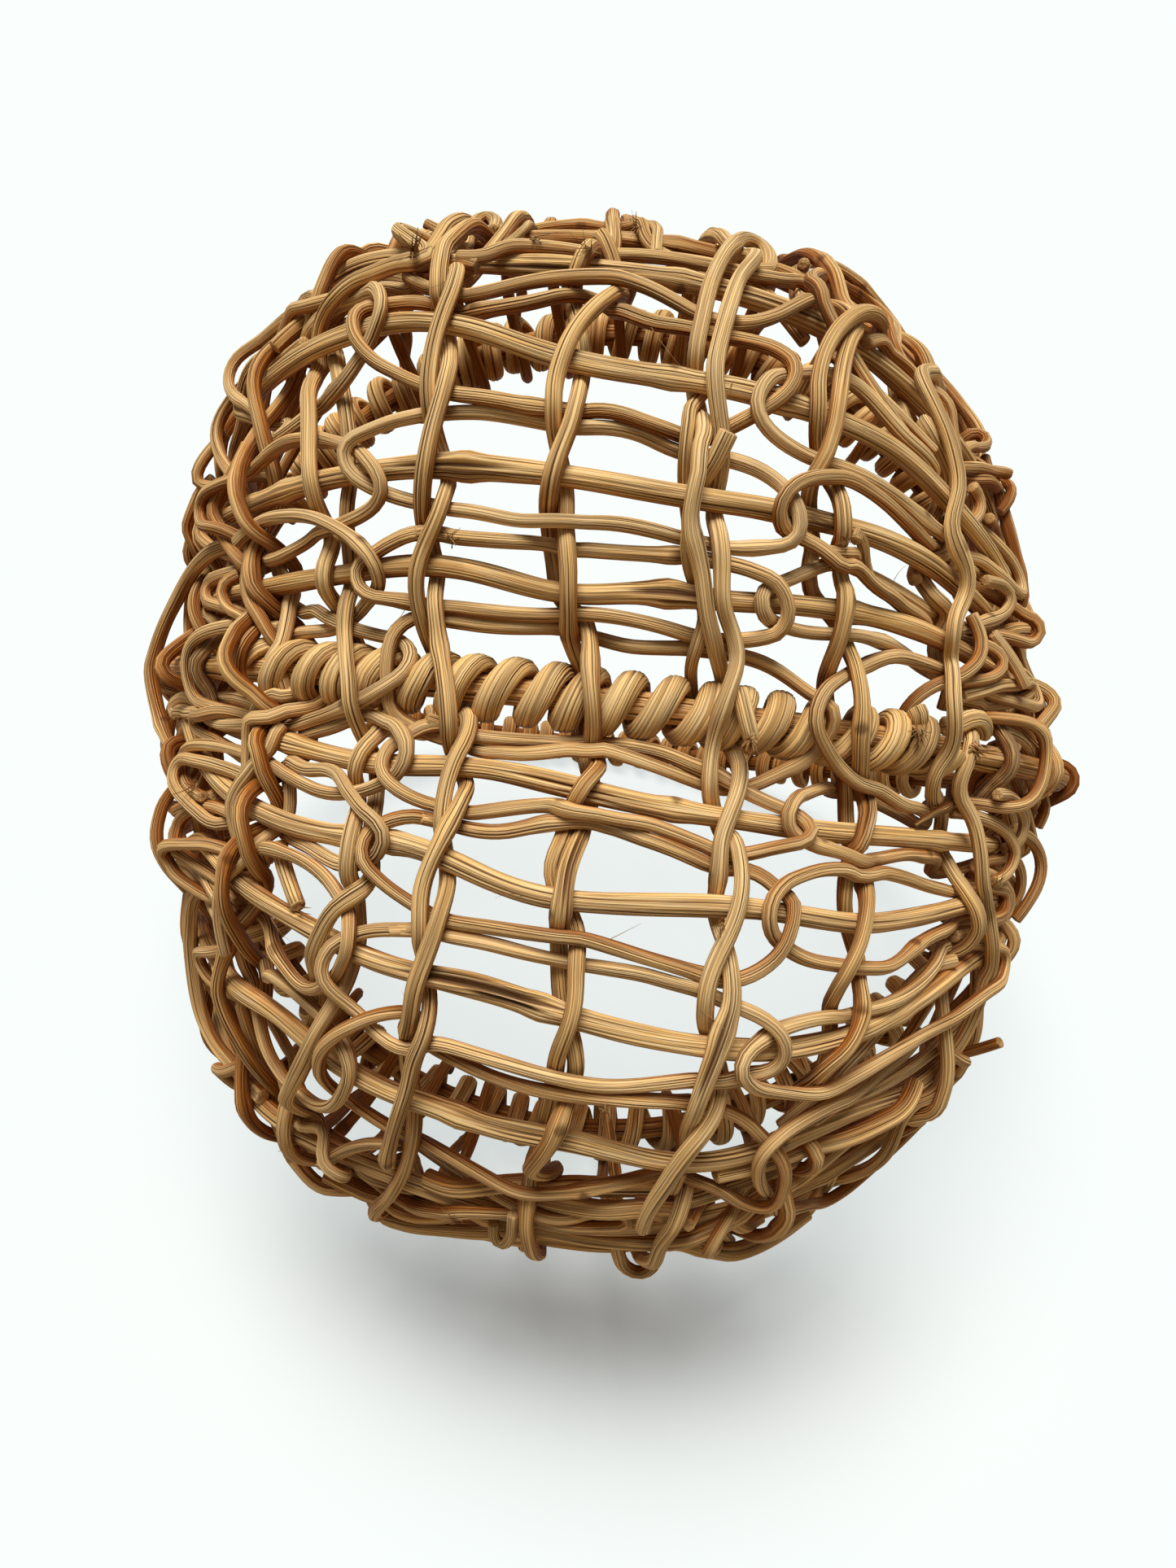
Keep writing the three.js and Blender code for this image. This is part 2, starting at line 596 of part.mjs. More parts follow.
// Turns a geometry whose faces point in.
function facingOut(geometry) {
  const indexed = geometry.index ? geometry : null;
  const position = geometry.attributes.position;
  const order = indexed ? indexed.index.array : Array.from({ length: position.count }, (_, i) => i);
  const corner = (i) => new THREE.Vector3().fromBufferAttribute(position, order[i]);
  let volume = 0;
  for (let i = 0; i < order.length; i += 3)
    volume += corner(i).dot(corner(i + 1).cross(corner(i + 2)));
  if (volume > 0) return geometry;
  const turned = [];
  for (let i = 0; i < order.length; i += 3) turned.push(order[i], order[i + 2], order[i + 1]);
  geometry.setIndex(turned);
  return geometry;
}

function wood(color, roughness) {
  return new THREE.MeshStandardMaterial({ color, roughness, metalness: 0 });
}
const HOOP_COLOR = 0xb98f5a;
const WRAP_COLOR = 0xcfa66a;
const RIB_COLOR = 0xb9905c;
const COLUMN_COLOR = 0xb08452;
const LINK_COLOR = 0xc4a172;
const LASHING_COLOR = 0xc19a62;

const basket = new THREE.Group();
function addPiece(name, geometry, color) {
  const mesh = new THREE.Mesh(geometry, wood(color, 0.72));
  mesh.name = name;
  basket.add(mesh);
  return mesh;
}

// The rings of a hoop stand out by half of what its straight steps cut off.
const stepSag = (1 - Math.cos(Math.PI / HOOP_STEPS)) / 2;
const rimGeometry = new THREE.TorusGeometry(RIM_RADIUS * (1 + stepSag), HOOP_R, HOOP_SIDES, HOOP_STEPS);
addPiece("rim_hoop", rimGeometry, HOOP_COLOR);
const handleGeometry = new THREE.TorusGeometry(HANDLE_RADIUS * (1 + stepSag), HOOP_R, HOOP_SIDES, HOOP_STEPS);
handleGeometry.rotateX(Math.PI / 2);
addPiece("handle_hoop", handleGeometry, HOOP_COLOR);

const WINDINGS = [
  ["spine_wrap", onHandle, HANDLE_RADIUS, SPINE_MIDDLE, SPINE_LOOPS, SPINE_PITCH],
  ["handle_wrap", onHandle, HANDLE_RADIUS, Math.PI, HANDLE_LOOPS, HANDLE_PITCH],
  ["rim_wrap_upper", onRim, RIM_RADIUS, 0, RIM_LOOPS, RIM_PITCH],
  ["rim_wrap_lower", onRim, RIM_RADIUS, Math.PI, RIM_LOOPS, RIM_PITCH],
];
for (const [name, place, radius, middle, loops, pitch] of WINDINGS)
  addPiece(name, facingOut(windingGeometry(place, radius, middle, loops, pitch, name)), WRAP_COLOR);

for (const strand of strands) {
  const color = strand.name.startsWith("rib") ? RIB_COLOR
    : strand.name.startsWith("column") ? COLUMN_COLOR
    : strand.name.startsWith("link") ? LINK_COLOR : LASHING_COLOR;
  const sides = strand.name.startsWith("rib") ? RIB_SIDES : STRAND_SIDES;
  addPiece(strand.name, facingOut(strandGeometry(strand.points, strand.radius, sides)), color);
}

// The basket leans until the low side of the bowl and the top of the handle touch the same floor.
const corners = [];
for (const mesh of basket.children) {
  const position = mesh.geometry.attributes.position;
  for (let i = 0; i < position.count; i++) corners.push([position.getX(i), position.getY(i), position.getZ(i)]);
}
function lowest(tilt, front) {
  let least = Infinity;
  for (const [, y, z] of corners) {
    if ((z > -RIM_RADIUS / 2) !== front) continue;
    least = Math.min(least, y * Math.sin(tilt) + z * Math.cos(tilt));
  }
  return least;
}
let leanLow = Math.PI / 6;
let leanHigh = Math.PI / 3;
for (let i = 0; i < 50; i++) {
  const tilt = (leanLow + leanHigh) / 2;
  if (lowest(tilt, true) > lowest(tilt, false)) leanLow = tilt;
  else leanHigh = tilt;
}
const lean = (leanLow + leanHigh) / 2;
const floor = lowest(lean, true) + FLAT_DEPTH;

// Where the basket stands it is worn flat.
function asSolid(geometry) {
  const bare = new THREE.BufferGeometry();
  bare.setAttribute("position", geometry.attributes.position.clone());
  if (geometry.index) bare.setIndex(geometry.index.clone());
  const merged = mergeVertices(bare, 1e-3);
  return new wasm.Manifold(
    new wasm.Mesh({
      numProp: 3,
      vertProperties: new Float32Array(merged.attributes.position.array),
      triVerts: new Uint32Array(merged.index.array),
    }),
  );
}
function asGeometry(solid) {
  const mesh = solid.getMesh();
  const geometry = new THREE.BufferGeometry();
  geometry.setAttribute("position", new THREE.BufferAttribute(mesh.vertProperties, 3));
  geometry.setIndex(new THREE.BufferAttribute(mesh.triVerts, 1));
  return geometry;
}
const slabDepth = 20;
const slabWidth = 3 * RIM_RADIUS;
const slabGeometry = new THREE.BoxGeometry(slabWidth, slabWidth, slabDepth);
slabGeometry.translate(0, 0, floor - slabDepth / 2);
slabGeometry.rotateX(-lean);
const slab = asSolid(slabGeometry);
for (const mesh of basket.children) {
  const position = mesh.geometry.attributes.position;
  let least = Infinity;
  for (let i = 0; i < position.count; i++)
    least = Math.min(least, position.getY(i) * Math.sin(lean) + position.getZ(i) * Math.cos(lean));
  if (least >= floor) continue;
  mesh.geometry = asGeometry(asSolid(mesh.geometry).subtract(slab));
  console.log(mesh.name + " is worn flat where it stands");
}

basket.rotation.x = lean;
const part = new THREE.Group();
part.add(basket);
part.updateMatrixWorld(true);
const box = new THREE.Box3();
for (const mesh of basket.children) {
  const world = mesh.geometry.clone().applyMatrix4(mesh.matrixWorld);
  world.computeBoundingBox();
  box.union(world.boundingBox);
}
basket.position.set(-(box.min.x + box.max.x) / 2, -(box.min.y + box.max.y) / 2, -floor);

export default part;
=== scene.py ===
# %% [markdown]
# # A gathering basket of whole vines
# Two hoops cross at the ears, ribs spring from ear to ear, and columns of twined vine run from rim to
# rim. Chains of long hairpin links lie along the ribs, and the hoops are wrapped. Here each strand gets
# its round ridged section, its knots and its bark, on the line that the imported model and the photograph
# give it.

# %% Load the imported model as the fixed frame
import math
import re

import bmesh
import bpy
import numpy as np
from mathutils import Matrix, Vector, kdtree


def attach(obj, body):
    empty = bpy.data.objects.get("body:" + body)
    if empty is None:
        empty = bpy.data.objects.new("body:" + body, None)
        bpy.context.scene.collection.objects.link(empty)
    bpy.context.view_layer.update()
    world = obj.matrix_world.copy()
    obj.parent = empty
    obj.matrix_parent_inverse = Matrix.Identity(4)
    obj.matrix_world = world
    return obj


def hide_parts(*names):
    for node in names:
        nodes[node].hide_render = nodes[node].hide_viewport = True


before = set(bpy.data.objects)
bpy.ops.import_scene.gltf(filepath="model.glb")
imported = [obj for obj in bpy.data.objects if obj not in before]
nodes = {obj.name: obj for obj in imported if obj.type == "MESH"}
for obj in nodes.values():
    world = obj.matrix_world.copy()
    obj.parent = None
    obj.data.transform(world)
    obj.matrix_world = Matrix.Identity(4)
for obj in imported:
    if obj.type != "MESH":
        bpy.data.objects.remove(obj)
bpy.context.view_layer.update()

BODY = "root"

# %% [markdown]
# The basket leans on its rim and on its handle, so its own axes are tilted. The rim hoop is a flat ring,
# so its corners tell where the middle of the mouth is and which way the bowl points. Everything that
# follows is worked out in this frame of the basket, in millimetres: X from ear to ear, Y across the bowl
# and Z out of its bottom.

# %% The basket's own axes, read from the rim hoop
MM = 0.001
HOOP_RADIUS = 4.5


def corners_of(node):
    """A CAD node's corners as an array of points, in metres."""
    mesh = nodes[node].data
    places = np.empty(len(mesh.vertices) * 3, np.float32)
    mesh.vertices.foreach_get("co", places)
    return places.reshape(-1, 3).astype(float)


rim_corners = corners_of("rim_hoop")
CENTRE = (rim_corners.min(0) + rim_corners.max(0)) / 2
flattest = np.linalg.svd(rim_corners - rim_corners.mean(0), full_matrices=False)[2][2]
AXIS_Z = flattest * np.sign(flattest[2])
AXIS_X = np.array([1.0, 0.0, 0.0])
AXIS_Y = np.cross(AXIS_Z, AXIS_X)
AXES = np.array([AXIS_X, AXIS_Y, AXIS_Z])


def to_basket(places):
    """Points of the room, in metres, as points of the basket's frame, in millimetres."""
    return (np.asarray(places) - CENTRE) @ AXES.T / MM


def to_room(places):
    """Points of the basket's frame, in millimetres, as points of the room, in metres."""
    return np.asarray(places) @ AXES * MM + CENTRE


RIM_RADIUS = np.linalg.norm(to_basket(rim_corners)[:, :2], axis=1).max() - HOOP_RADIUS
handle_corners = to_basket(corners_of("handle_hoop"))
HANDLE_RADIUS = np.linalg.norm(handle_corners[:, [0, 2]], axis=1).max() - HOOP_RADIUS
lean = math.degrees(math.acos(AXIS_Z[2]))
print(f"lean {lean:.2f} degrees, rim {RIM_RADIUS:.1f} mm, handle {HANDLE_RADIUS:.1f} mm")

# %% [markdown]
# The photograph was taken from close by with a wide lens held upright and turned by seven degrees. The
# camera looks straight into the basket's Z axis. The same few numbers turn a place on the photograph into
# a line of sight, so a strand's course can be read off the photograph wherever the frame leaves it free.

# %% The camera
PHOTO_WIDTH, PHOTO_HEIGHT = 1445, 1927
SENSOR = 36.0
PIXELS_PER_SLOPE = 1447.0
CAMERA_AT = np.array([-7.05, -24.64, 541.0])
ROLL = math.radians(7)
RIGHT = np.array([math.cos(ROLL), math.sin(ROLL), 0.0])
UP = np.array([-math.sin(ROLL), math.cos(ROLL), 0.0])
AHEAD = np.array([0.0, 0.0, -1.0])

camera_data = bpy.data.cameras.new("camera")
camera_data.sensor_width = SENSOR
camera_data.lens = PIXELS_PER_SLOPE * SENSOR / PHOTO_HEIGHT
camera_data.clip_start = 0.01
camera = bpy.data.objects.new("camera", camera_data)
bpy.context.scene.collection.objects.link(camera)
turn = np.stack([RIGHT @ AXES, UP @ AXES, AXIS_Z], axis=1)
camera.matrix_world = Matrix.Translation(to_room(CAMERA_AT)) @ Matrix(turn.tolist()).to_4x4()
bpy.context.scene.camera = camera


def unit(ways):
    """The same directions, each of length one."""
    return ways / np.linalg.norm(ways, axis=-1, keepdims=True)


def sight(pixels):
    """The direction of sight through each pixel of the photograph, in the basket's frame."""
    pixels = np.asarray(pixels, float)
    across = (pixels[..., 0] - PHOTO_WIDTH / 2) / PIXELS_PER_SLOPE
    rise = (PHOTO_HEIGHT / 2 - pixels[..., 1]) / PIXELS_PER_SLOPE
    return unit(across[..., None] * RIGHT + rise[..., None] * UP + AHEAD)


def seen_at(places):
    """Where points of the basket's frame fall on the photograph, in pixels."""
    from_camera = np.asarray(places) - CAMERA_AT
    depth = -from_camera[..., 2]
    x = PHOTO_WIDTH / 2 + PIXELS_PER_SLOPE * (from_camera @ RIGHT) / depth
    y = PHOTO_HEIGHT / 2 - PIXELS_PER_SLOPE * (from_camera @ UP) / depth
    return np.stack([x, y], axis=-1)


print(f"lens {camera_data.lens:.2f} mm, ears seen at",
      seen_at([[-RIM_RADIUS, 0, 0], [RIM_RADIUS, 0, 0]]).round())

# %% [markdown]
# A finish is a tree of nodes, and its sums are easier to read as sums. So a socket is wrapped in a small
# class that adds a Math node for each operator, and one method of the tree makes every other node.
# Colours are written as a screen shows them, and a function turns them into the linear ones that the
# shader works with.

# %% A small language for materials
class Wire:
    """A socket in a tree of shader nodes. Sums and products of wires become Math nodes."""

    def __init__(self, tree, socket):
        self.tree = tree
        self.socket = socket

    def maths(self, operation, *values):
        return self.tree.node("Math", {"operation": operation}, dict(enumerate(values)))

    def __add__(self, other):
        return self.maths("ADD", self, other)

    def __radd__(self, other):
        return self.maths("ADD", other, self)

    def __sub__(self, other):
        return self.maths("SUBTRACT", self, other)

    def __rsub__(self, other):
        return self.maths("SUBTRACT", other, self)

    def __mul__(self, other):
        return self.maths("MULTIPLY", self, other)

    def __rmul__(self, other):
        return self.maths("MULTIPLY", other, self)

    def __truediv__(self, other):
        return self.maths("DIVIDE", self, other)

    def __pow__(self, other):
        return self.maths("POWER", self, other)

    def __rpow__(self, other):
        return self.maths("POWER", other, self)

    def between(self, low, high):
        """0 below low, 1 above high and a smooth step between."""
        settings = {"interpolation_type": "SMOOTHSTEP"}
        return self.tree.node("MapRange", settings, {0: self, 1: low, 2: high, 3: 0.0, 4: 1.0})


class Finish:
    """The node tree of a material or of the world, emptied, with one method that adds any node."""

    def __init__(self, owner):
        owner.use_nodes = True
        self.links = owner.node_tree.links
        self.nodes = owner.node_tree.nodes
        self.nodes.clear()

    def node(self, kind, settings=None, values=None, output=0):
        """Adds a ShaderNode of this kind. Its settings go in first, then its sockets' values or wires."""
        made = self.nodes.new("ShaderNode" + kind)
        for name, value in (settings or {}).items():
            setattr(made, name, value)
        for name, value in (values or {}).items():
            if isinstance(value, Wire):
                self.links.new(value.socket, made.inputs[name])
            else:
                made.inputs[name].default_value = value
        return Wire(self, made.outputs[output]) if made.outputs else None

    def mix(self, share, first, second):
        """A blend of two colours."""
        settings = {"data_type": "RGBA"}
        return self.node("Mix", settings, {0: share, 6: first, 7: second}, output=2)

    def parts(self, vector):
        """The three parts of a vector."""
        split = self.node("SeparateXYZ", None, {0: vector})
        return [Wire(self, split.socket.node.outputs[k]) for k in range(3)]

    def only_shown(self):
        """1 for the camera's own, mirrored and transmitted rays, and 0 for those that carry light."""
        camera, glossy, through = [self.node("LightPath", output=f"Is {kind} Ray")
                                   for kind in ("Camera", "Glossy", "Transmission")]
        return (camera + glossy + through).between(0.0, 0.5)


def colour(red, green, blue):
    """A colour as it is written for a screen, from 0 to 255, as the shader's linear one."""
    screen = np.array([red, green, blue]) / 255
    linear = np.where(screen <= 0.04045, screen / 12.92, ((screen + 0.055) / 1.055) ** 2.4)
    return (*linear.tolist(), 1.0)


print("a tan of 208, 130, 52 is", [round(part, 3) for part in colour(208, 130, 52)], "to the shader")

# %% [markdown]
# The stage is a plain pale floor in soft light. A wide lamp overhead gives the bright upper sides and the
# soft shadow under the bowl, and the sky fills the rest. The sky is plain white to the camera and in
# reflections.

# %% Sky and lamp
SKY_LIGHT = 0.13
LAMP_STRENGTH = 3.3
LAMP_WIDTH = math.radians(34)
LAMP_FROM = (-0.12, 0.10, 1.0)
LAMP_COLOUR = (1.0, 0.972, 0.93)

scene = bpy.context.scene
scene.view_settings.view_transform = "Standard"
scene.world = bpy.data.worlds.new("sky")
sky = Finish(scene.world)
light = sky.node("Background", None, {"Color": colour(255, 248, 236), "Strength": SKY_LIGHT})
white = sky.node("Background", None, {"Color": colour(248, 254, 253), "Strength": 1.0})
both = sky.node("MixShader", None, {0: sky.only_shown(), 1: light, 2: white})
sky.node("OutputWorld", None, {"Surface": both})

lamp_data = bpy.data.lights.new("lamp", "SUN")
lamp_data.energy = LAMP_STRENGTH
lamp_data.angle = LAMP_WIDTH
lamp_data.color = LAMP_COLOUR
lamp = bpy.data.objects.new("lamp", lamp_data)
lamp.rotation_euler = Vector(LAMP_FROM).to_track_quat("Z", "Y").to_euler()
scene.collection.objects.link(lamp)
print("lamp of strength", LAMP_STRENGTH, "and sky of strength", SKY_LIGHT)

# %% [markdown]
# A pale floor throws so much light back up that the undersides lose their depth, so it throws back less
# than it shows. It also shows a share of plain white, which fills the shadow as if from all round the
# room, but hardly any round the point where the lower lobe comes down to it: there the shadow is
# deepened with painted shade.

# %% The floor
FLOOR_SIZE = 30.0
FLOOR_GLOW, CONTACT_GLOW, CONTACT_FADE = 0.72, 0.15, 0.37
CONTACT_PIXEL, CONTACT_SIZE = (735, 1625), (0.13, 0.045)

half = FLOOR_SIZE / 2
floor_corners = [(-half, -half, 0), (half, -half, 0), (half, half, 0), (-half, half, 0)]
floor_mesh = bpy.data.meshes.new("floor")
floor_mesh.from_pydata(floor_corners, [], [(0, 1, 2, 3)])
floor = bpy.data.objects.new("floor", floor_mesh)
scene.collection.objects.link(floor)
floor_paint = bpy.data.materials.new("floor_paint")
floor_mesh.materials.append(floor_paint)

paint = Finish(floor_paint)
pale_floor = paint.node("BsdfDiffuse", None, {"Color": colour(242, 246, 246)})
dim_floor = paint.node("BsdfDiffuse", None, {"Color": colour(158, 138, 112)})
glow = paint.node("Emission", None, {"Color": colour(246, 254, 253), "Strength": 1.0})
look = sight([CONTACT_PIXEL])[0] @ AXES
contact = to_room(CAMERA_AT) - look * to_room(CAMERA_AT)[2] / look[2]
east, north, _ = paint.parts(paint.node("TexCoord", output="Object"))
off_east = (east - float(contact[0])) / CONTACT_SIZE[0]
off_north = (north - float(contact[1])) / CONTACT_SIZE[1]
# painted shadow: the floor's white share is cut away round the point under the lower lobe, deepening the
# shadow there
painted_shadow_spot = CONTACT_FADE ** (off_east ** 2.0 + off_north ** 2.0)
glowing = FLOOR_GLOW - painted_shadow_spot * (FLOOR_GLOW - CONTACT_GLOW)
lit_floor = paint.node("MixShader", None, {0: glowing, 1: pale_floor, 2: glow})
matt = paint.node("MixShader", None, {0: paint.only_shown(), 1: dim_floor, 2: lit_floor})
paint.node("OutputMaterial", None, {"Surface": matt})
print("the shadow is deepest at", contact.round(3))

# %% [markdown]
# Each CAD strand is a bar of rings with four or five corners. The corner that is most edges away from any
# other lies on a cut end, with its ring's other corners close by. From that end, one more edge at a time
# reaches one more ring, and the middle of each ring is a point of the strand's centreline. A ring that
# was worn flat at the floor has odd corners and is left out.

# %% Read a strand's centreline from its node
SAME_PLACE = 2e-5
CORNERS_ROUND = {"rib": 5, "column": 4, "link": 4, "ear": 4}


def steps_from(front, linked):
    """How many edges each corner is away from a first set of corners, and how many steps there are."""
    depth = np.full(len(linked), -1)
    ring = 0
    while front.any():
        depth[front] = ring
        ring += 1
        front = linked[front].any(0) & (depth < 0)
    return depth, ring


def ring_centres(node, sides):
    """The centres of the rings of corners that a CAD strand is made of, from one cut end to the other."""
    shell = bmesh.new()
    shell.from_mesh(nodes[node].data)
    bmesh.ops.remove_doubles(shell, verts=shell.verts, dist=SAME_PLACE)
    shell.verts.index_update()
    places = np.array([v.co for v in shell.verts])
    triangles = np.array([[v.index for v in face.verts] for face in shell.faces])
    shell.free()
    linked = np.zeros((len(places), len(places)), bool)
    for a, b in ((0, 1), (1, 2), (2, 0)):
        linked[triangles[:, a], triangles[:, b]] = True
        linked[triangles[:, b], triangles[:, a]] = True
    first = np.zeros(len(places), bool)
    first[0] = True
    far = np.argmax(steps_from(first, linked)[0])
    close = linked[far] | linked[linked[far]].any(0)
    distance = np.where(close, np.linalg.norm(places - places[far], axis=1), np.inf)
    distance[far] = 0
    end = np.zeros(len(places), bool)
    end[np.argsort(distance)[:sides]] = True
    depth, ring = steps_from(end, linked)
    counts = np.bincount(depth, minlength=ring)
    whole = counts == sides
    sums = np.stack([np.bincount(depth, places[:, k], ring) for k in range(3)], axis=1)
    return to_basket(sums[whole] / counts[whole][:, None])


lines = {}
for name in sorted(nodes):
    kind = name.split("_")[0]
    if kind in CORNERS_ROUND:
        lines[name] = ring_centres(name, CORNERS_ROUND[kind])
print(len(lines), "centrelines, with", sum(len(line) for line in lines.values()), "points")

# %% [markdown]
# A vine is stiff, so it bends in long smooth curves. The centreline is drawn as cubics through the points
# that were read, and then walked in even steps, because the sweep and the contact test both like even
# steps.

# %% Smooth curves through points
SAME_POINT = 1e-6
POINTS_PER_SPAN = 16


def distances_along(line):
    """How far along the line each of its points is."""
    return np.concatenate([[0], np.cumsum(np.linalg.norm(np.diff(line, axis=0), axis=1))])


def read_off(line, along, places):
    """The line's values at these places along it, straight between its points."""
    return np.stack([np.interp(places, along, line[:, k]) for k in range(3)], axis=1)


def even_steps(line, step):
    """The same line with its points at even distances along it."""
    along = distances_along(line)
    places = np.linspace(0, along[-1], max(int(round(along[-1] / step)), 3) + 1)
    return read_off(line, along, places)


def ease(values):
    """Makes each inner value half its own plus a quarter of each neighbour's, in place."""
    values[1:-1] = (values[:-2] + 2 * values[1:-1] + values[2:]) / 4


def curve_through(points, step):
    """A smooth line through the points: a cubic on each span, with the mean slope at both its ends."""
    chords = np.linalg.norm(np.diff(points, axis=0), axis=1)
    points = points[np.concatenate([[True], chords > SAME_POINT])]
    chords = chords[chords > SAME_POINT]
    knots = np.concatenate([[0], np.cumsum(np.sqrt(chords))])
    slopes = np.gradient(points, knots, axis=0)
    at = np.linspace(0, knots[-1], POINTS_PER_SPAN * len(points))
    i = np.clip(np.searchsorted(knots, at, side="right") - 1, 0, len(knots) - 2)
    width = (knots[i + 1] - knots[i])[:, None]
    t = (at - knots[i])[:, None] / width
    fine = (points[i] * (2 * t**3 - 3 * t**2 + 1) + slopes[i] * width * (t**3 - 2 * t**2 + t)
            + points[i + 1] * (3 * t**2 - 2 * t**3) + slopes[i + 1] * width * (t**3 - t**2))
    return even_steps(fine, step)


longest = max(distances_along(line)[-1] for line in lines.values())
print("the longest strand runs", round(longest), "mm")

# %% [markdown]
# The hoops are round rods, each closed under an ear's lashing. The wrappings are vines wound round them:
# a point goes round the hoop's section while it moves along the hoop. It could go round evenly, as a
# screw's thread does, but a real turn crosses the outside of the hoop on a slant and the inside nearly
# square, so the pace changes.

# %% Hoops, and a vine wound round one
HOOP_CUT = 0.002
HOOP_POINTS = 400
STEPS_PER_TURN = 16
NUDGE = 0.001


def on_handle(angle, radius):
    """A point on the handle hoop's circle, in the plane Y = 0, from the spine's middle."""
    return np.stack([np.sin(angle) * radius, 0 * angle, np.cos(angle) * radius], axis=-1)


def on_rim(angle, radius):
    """A point on the rim hoop's circle, in the plane Z = 0, from the upper rim's middle."""
    return np.stack([np.sin(angle) * radius, np.cos(angle) * radius, 0 * angle], axis=-1)


def winding(place, hoop_radius, angles, reach, slant):
    """A vine wound round a hoop, one turn for each step in angles, and the direction out of the hoop at
    each point. The point at turn n is the hoop's point there plus reach times out cos(2 pi n) - aside
    sin(2 pi n). A slant makes it run on faster while it is on the outside, and slower on the inside."""
    turns = np.arange(0, (len(angles) - 1) * STEPS_PER_TURN + 1) / STEPS_PER_TURN
    slanted = turns + slant * np.sin(2 * np.pi * turns) / (2 * np.pi)
    angle = np.interp(slanted, np.arange(len(angles)), angles)
    centre = place(angle, hoop_radius)
    out = unit(centre)
    along = unit(place(angle + NUDGE, hoop_radius) - place(angle - NUDGE, hoop_radius))
    aside = np.cross(along, out)
    phase = -2 * np.pi * turns[:, None]
    radial = out * np.cos(phase) + aside * np.sin(phase)
    return centre + radial * reach, radial


whole_turn = np.linspace(np.pi / 2 + HOOP_CUT, 5 * np.pi / 2 - HOOP_CUT, HOOP_POINTS)
hoop_lines = {"handle_hoop": on_handle(whole_turn, HANDLE_RADIUS), "rim_hoop": on_rim(whole_turn, RIM_RADIUS)}
print(len(hoop_lines), "hoops,", round(distances_along(hoop_lines["rim_hoop"])[-1]), "mm round the rim")

# %% [markdown]
# The photograph shows where each turn crosses the front of the spine, so the spacing there follows it.
# Elsewhere the turns are evenly spaced with small slips. Turns on the rim and the handle aren't all
# pulled tight: a slow random wave lifts some of them off the hoop.

# %% The wrappings
SPINE_TURNS_SEEN = [286, 333, 372, 408, 446, 512, 556, 608, 664, 708,
                    758, 812, 868, 905, 955, 998, 1062, 1105, 1140, 1180]
SPINE_HALF = 60
TURN_FRONT = 9
HANDLE_TURNS, UPPER_RIM_TURNS, LOWER_RIM_TURNS = 33, 34, 28
WRAPPED_HALF = 1.1
TURN_SLIP = 0.2
WRAP_HALF_DEPTH, WRAP_GAP = 2.9, 0.1
WRAP_HALF_WIDTH = {"spine_wrap": 4.4, "handle_wrap": 4.0, "rim_wrap_upper": 4.1, "rim_wrap_lower": 3.6}
SLANT = {"spine_wrap": 0.75, "handle_wrap": 0.6, "rim_wrap_upper": 0.6, "rim_wrap_lower": 0.6}
SLACK = {"spine_wrap": 0.0, "handle_wrap": 3.2, "rim_wrap_upper": 5.0, "rim_wrap_lower": 5.0}
SLACK_SPAN, SLACK_STRETCH, SLACK_DROP = 13, 2.0, 0.7

chance = np.random.default_rng(11)
dense = np.radians(np.linspace(-SPINE_HALF, SPINE_HALF, 400))
seen_x = seen_at(on_handle(dense, HANDLE_RADIUS + TURN_FRONT))[:, 0]


def slipped(middle, count):
    """The angles of the turns from one end of an arc to the other, each a little out of place."""
    places = np.linspace(middle - WRAPPED_HALF, middle + WRAPPED_HALF, count + 1)
    return places + chance.normal(0, TURN_SLIP, count + 1) * (2 * WRAPPED_HALF / count)


def slack_wave(count):
    """How slack the winding is at each point, 0 to 1: a running mean of random numbers, spread out."""
    rough = chance.uniform(0, 1, count + SLACK_SPAN - 1)
    mean = np.convolve(rough, np.ones(SLACK_SPAN) / SLACK_SPAN, "valid")
    return np.clip(mean * SLACK_STRETCH - SLACK_DROP, 0, 1)


WINDINGS = {
    "spine_wrap": (on_handle, HANDLE_RADIUS, np.interp(SPINE_TURNS_SEEN, seen_x, dense)),
    "handle_wrap": (on_handle, HANDLE_RADIUS, slipped(np.pi, HANDLE_TURNS)),
    "rim_wrap_upper": (on_rim, RIM_RADIUS, slipped(0.0, UPPER_RIM_TURNS)),
    "rim_wrap_lower": (on_rim, RIM_RADIUS, slipped(np.pi, LOWER_RIM_TURNS)),
}
wrap_lines, wrap_outs = {}, {}
for name, (place, radius, angles) in WINDINGS.items():
    line, out = winding(place, radius, angles, HOOP_RADIUS + WRAP_HALF_DEPTH + WRAP_GAP, SLANT[name])
    wrap_lines[name] = line + out * (SLACK[name] * slack_wave(len(line)))[:, None]
    wrap_outs[name] = out
print({name: len(line) for name, line in wrap_lines.items()})

# %% [markdown]
# The ribs lie on one smooth bowl. A line of sight through a pixel of the photograph meets that bowl at
# one place, and a strand that passes over or under a rib lies a few millimetres outside or inside it. The
# bowl is worked out as a distance from its middle in each direction, by radial basis functions through
# the ribs and hoops.

# %% The bowl that the strands lie on
BOWL_MIDDLE = np.array([0.0, 0.0, 56.0])
SPINE_ARC = 84
BOWL_EASE = 0.02
SIGHT_FROM, SIGHT_SPAN, SIGHT_POINTS = 250.0, 290.0, 260

ribs = [lines[name] for name in sorted(lines) if name.startswith("rib")]
spine = on_handle(np.radians(np.linspace(-SPINE_ARC, SPINE_ARC, 40)), HANDLE_RADIUS)
rim = on_rim(np.radians(np.arange(0, 360, 9)), RIM_RADIUS)
bowl_ways = np.concatenate([*ribs, spine, rim]) - BOWL_MIDDLE
bowl_reach = np.linalg.norm(bowl_ways, axis=1)
bowl_ways /= bowl_reach[:, None]


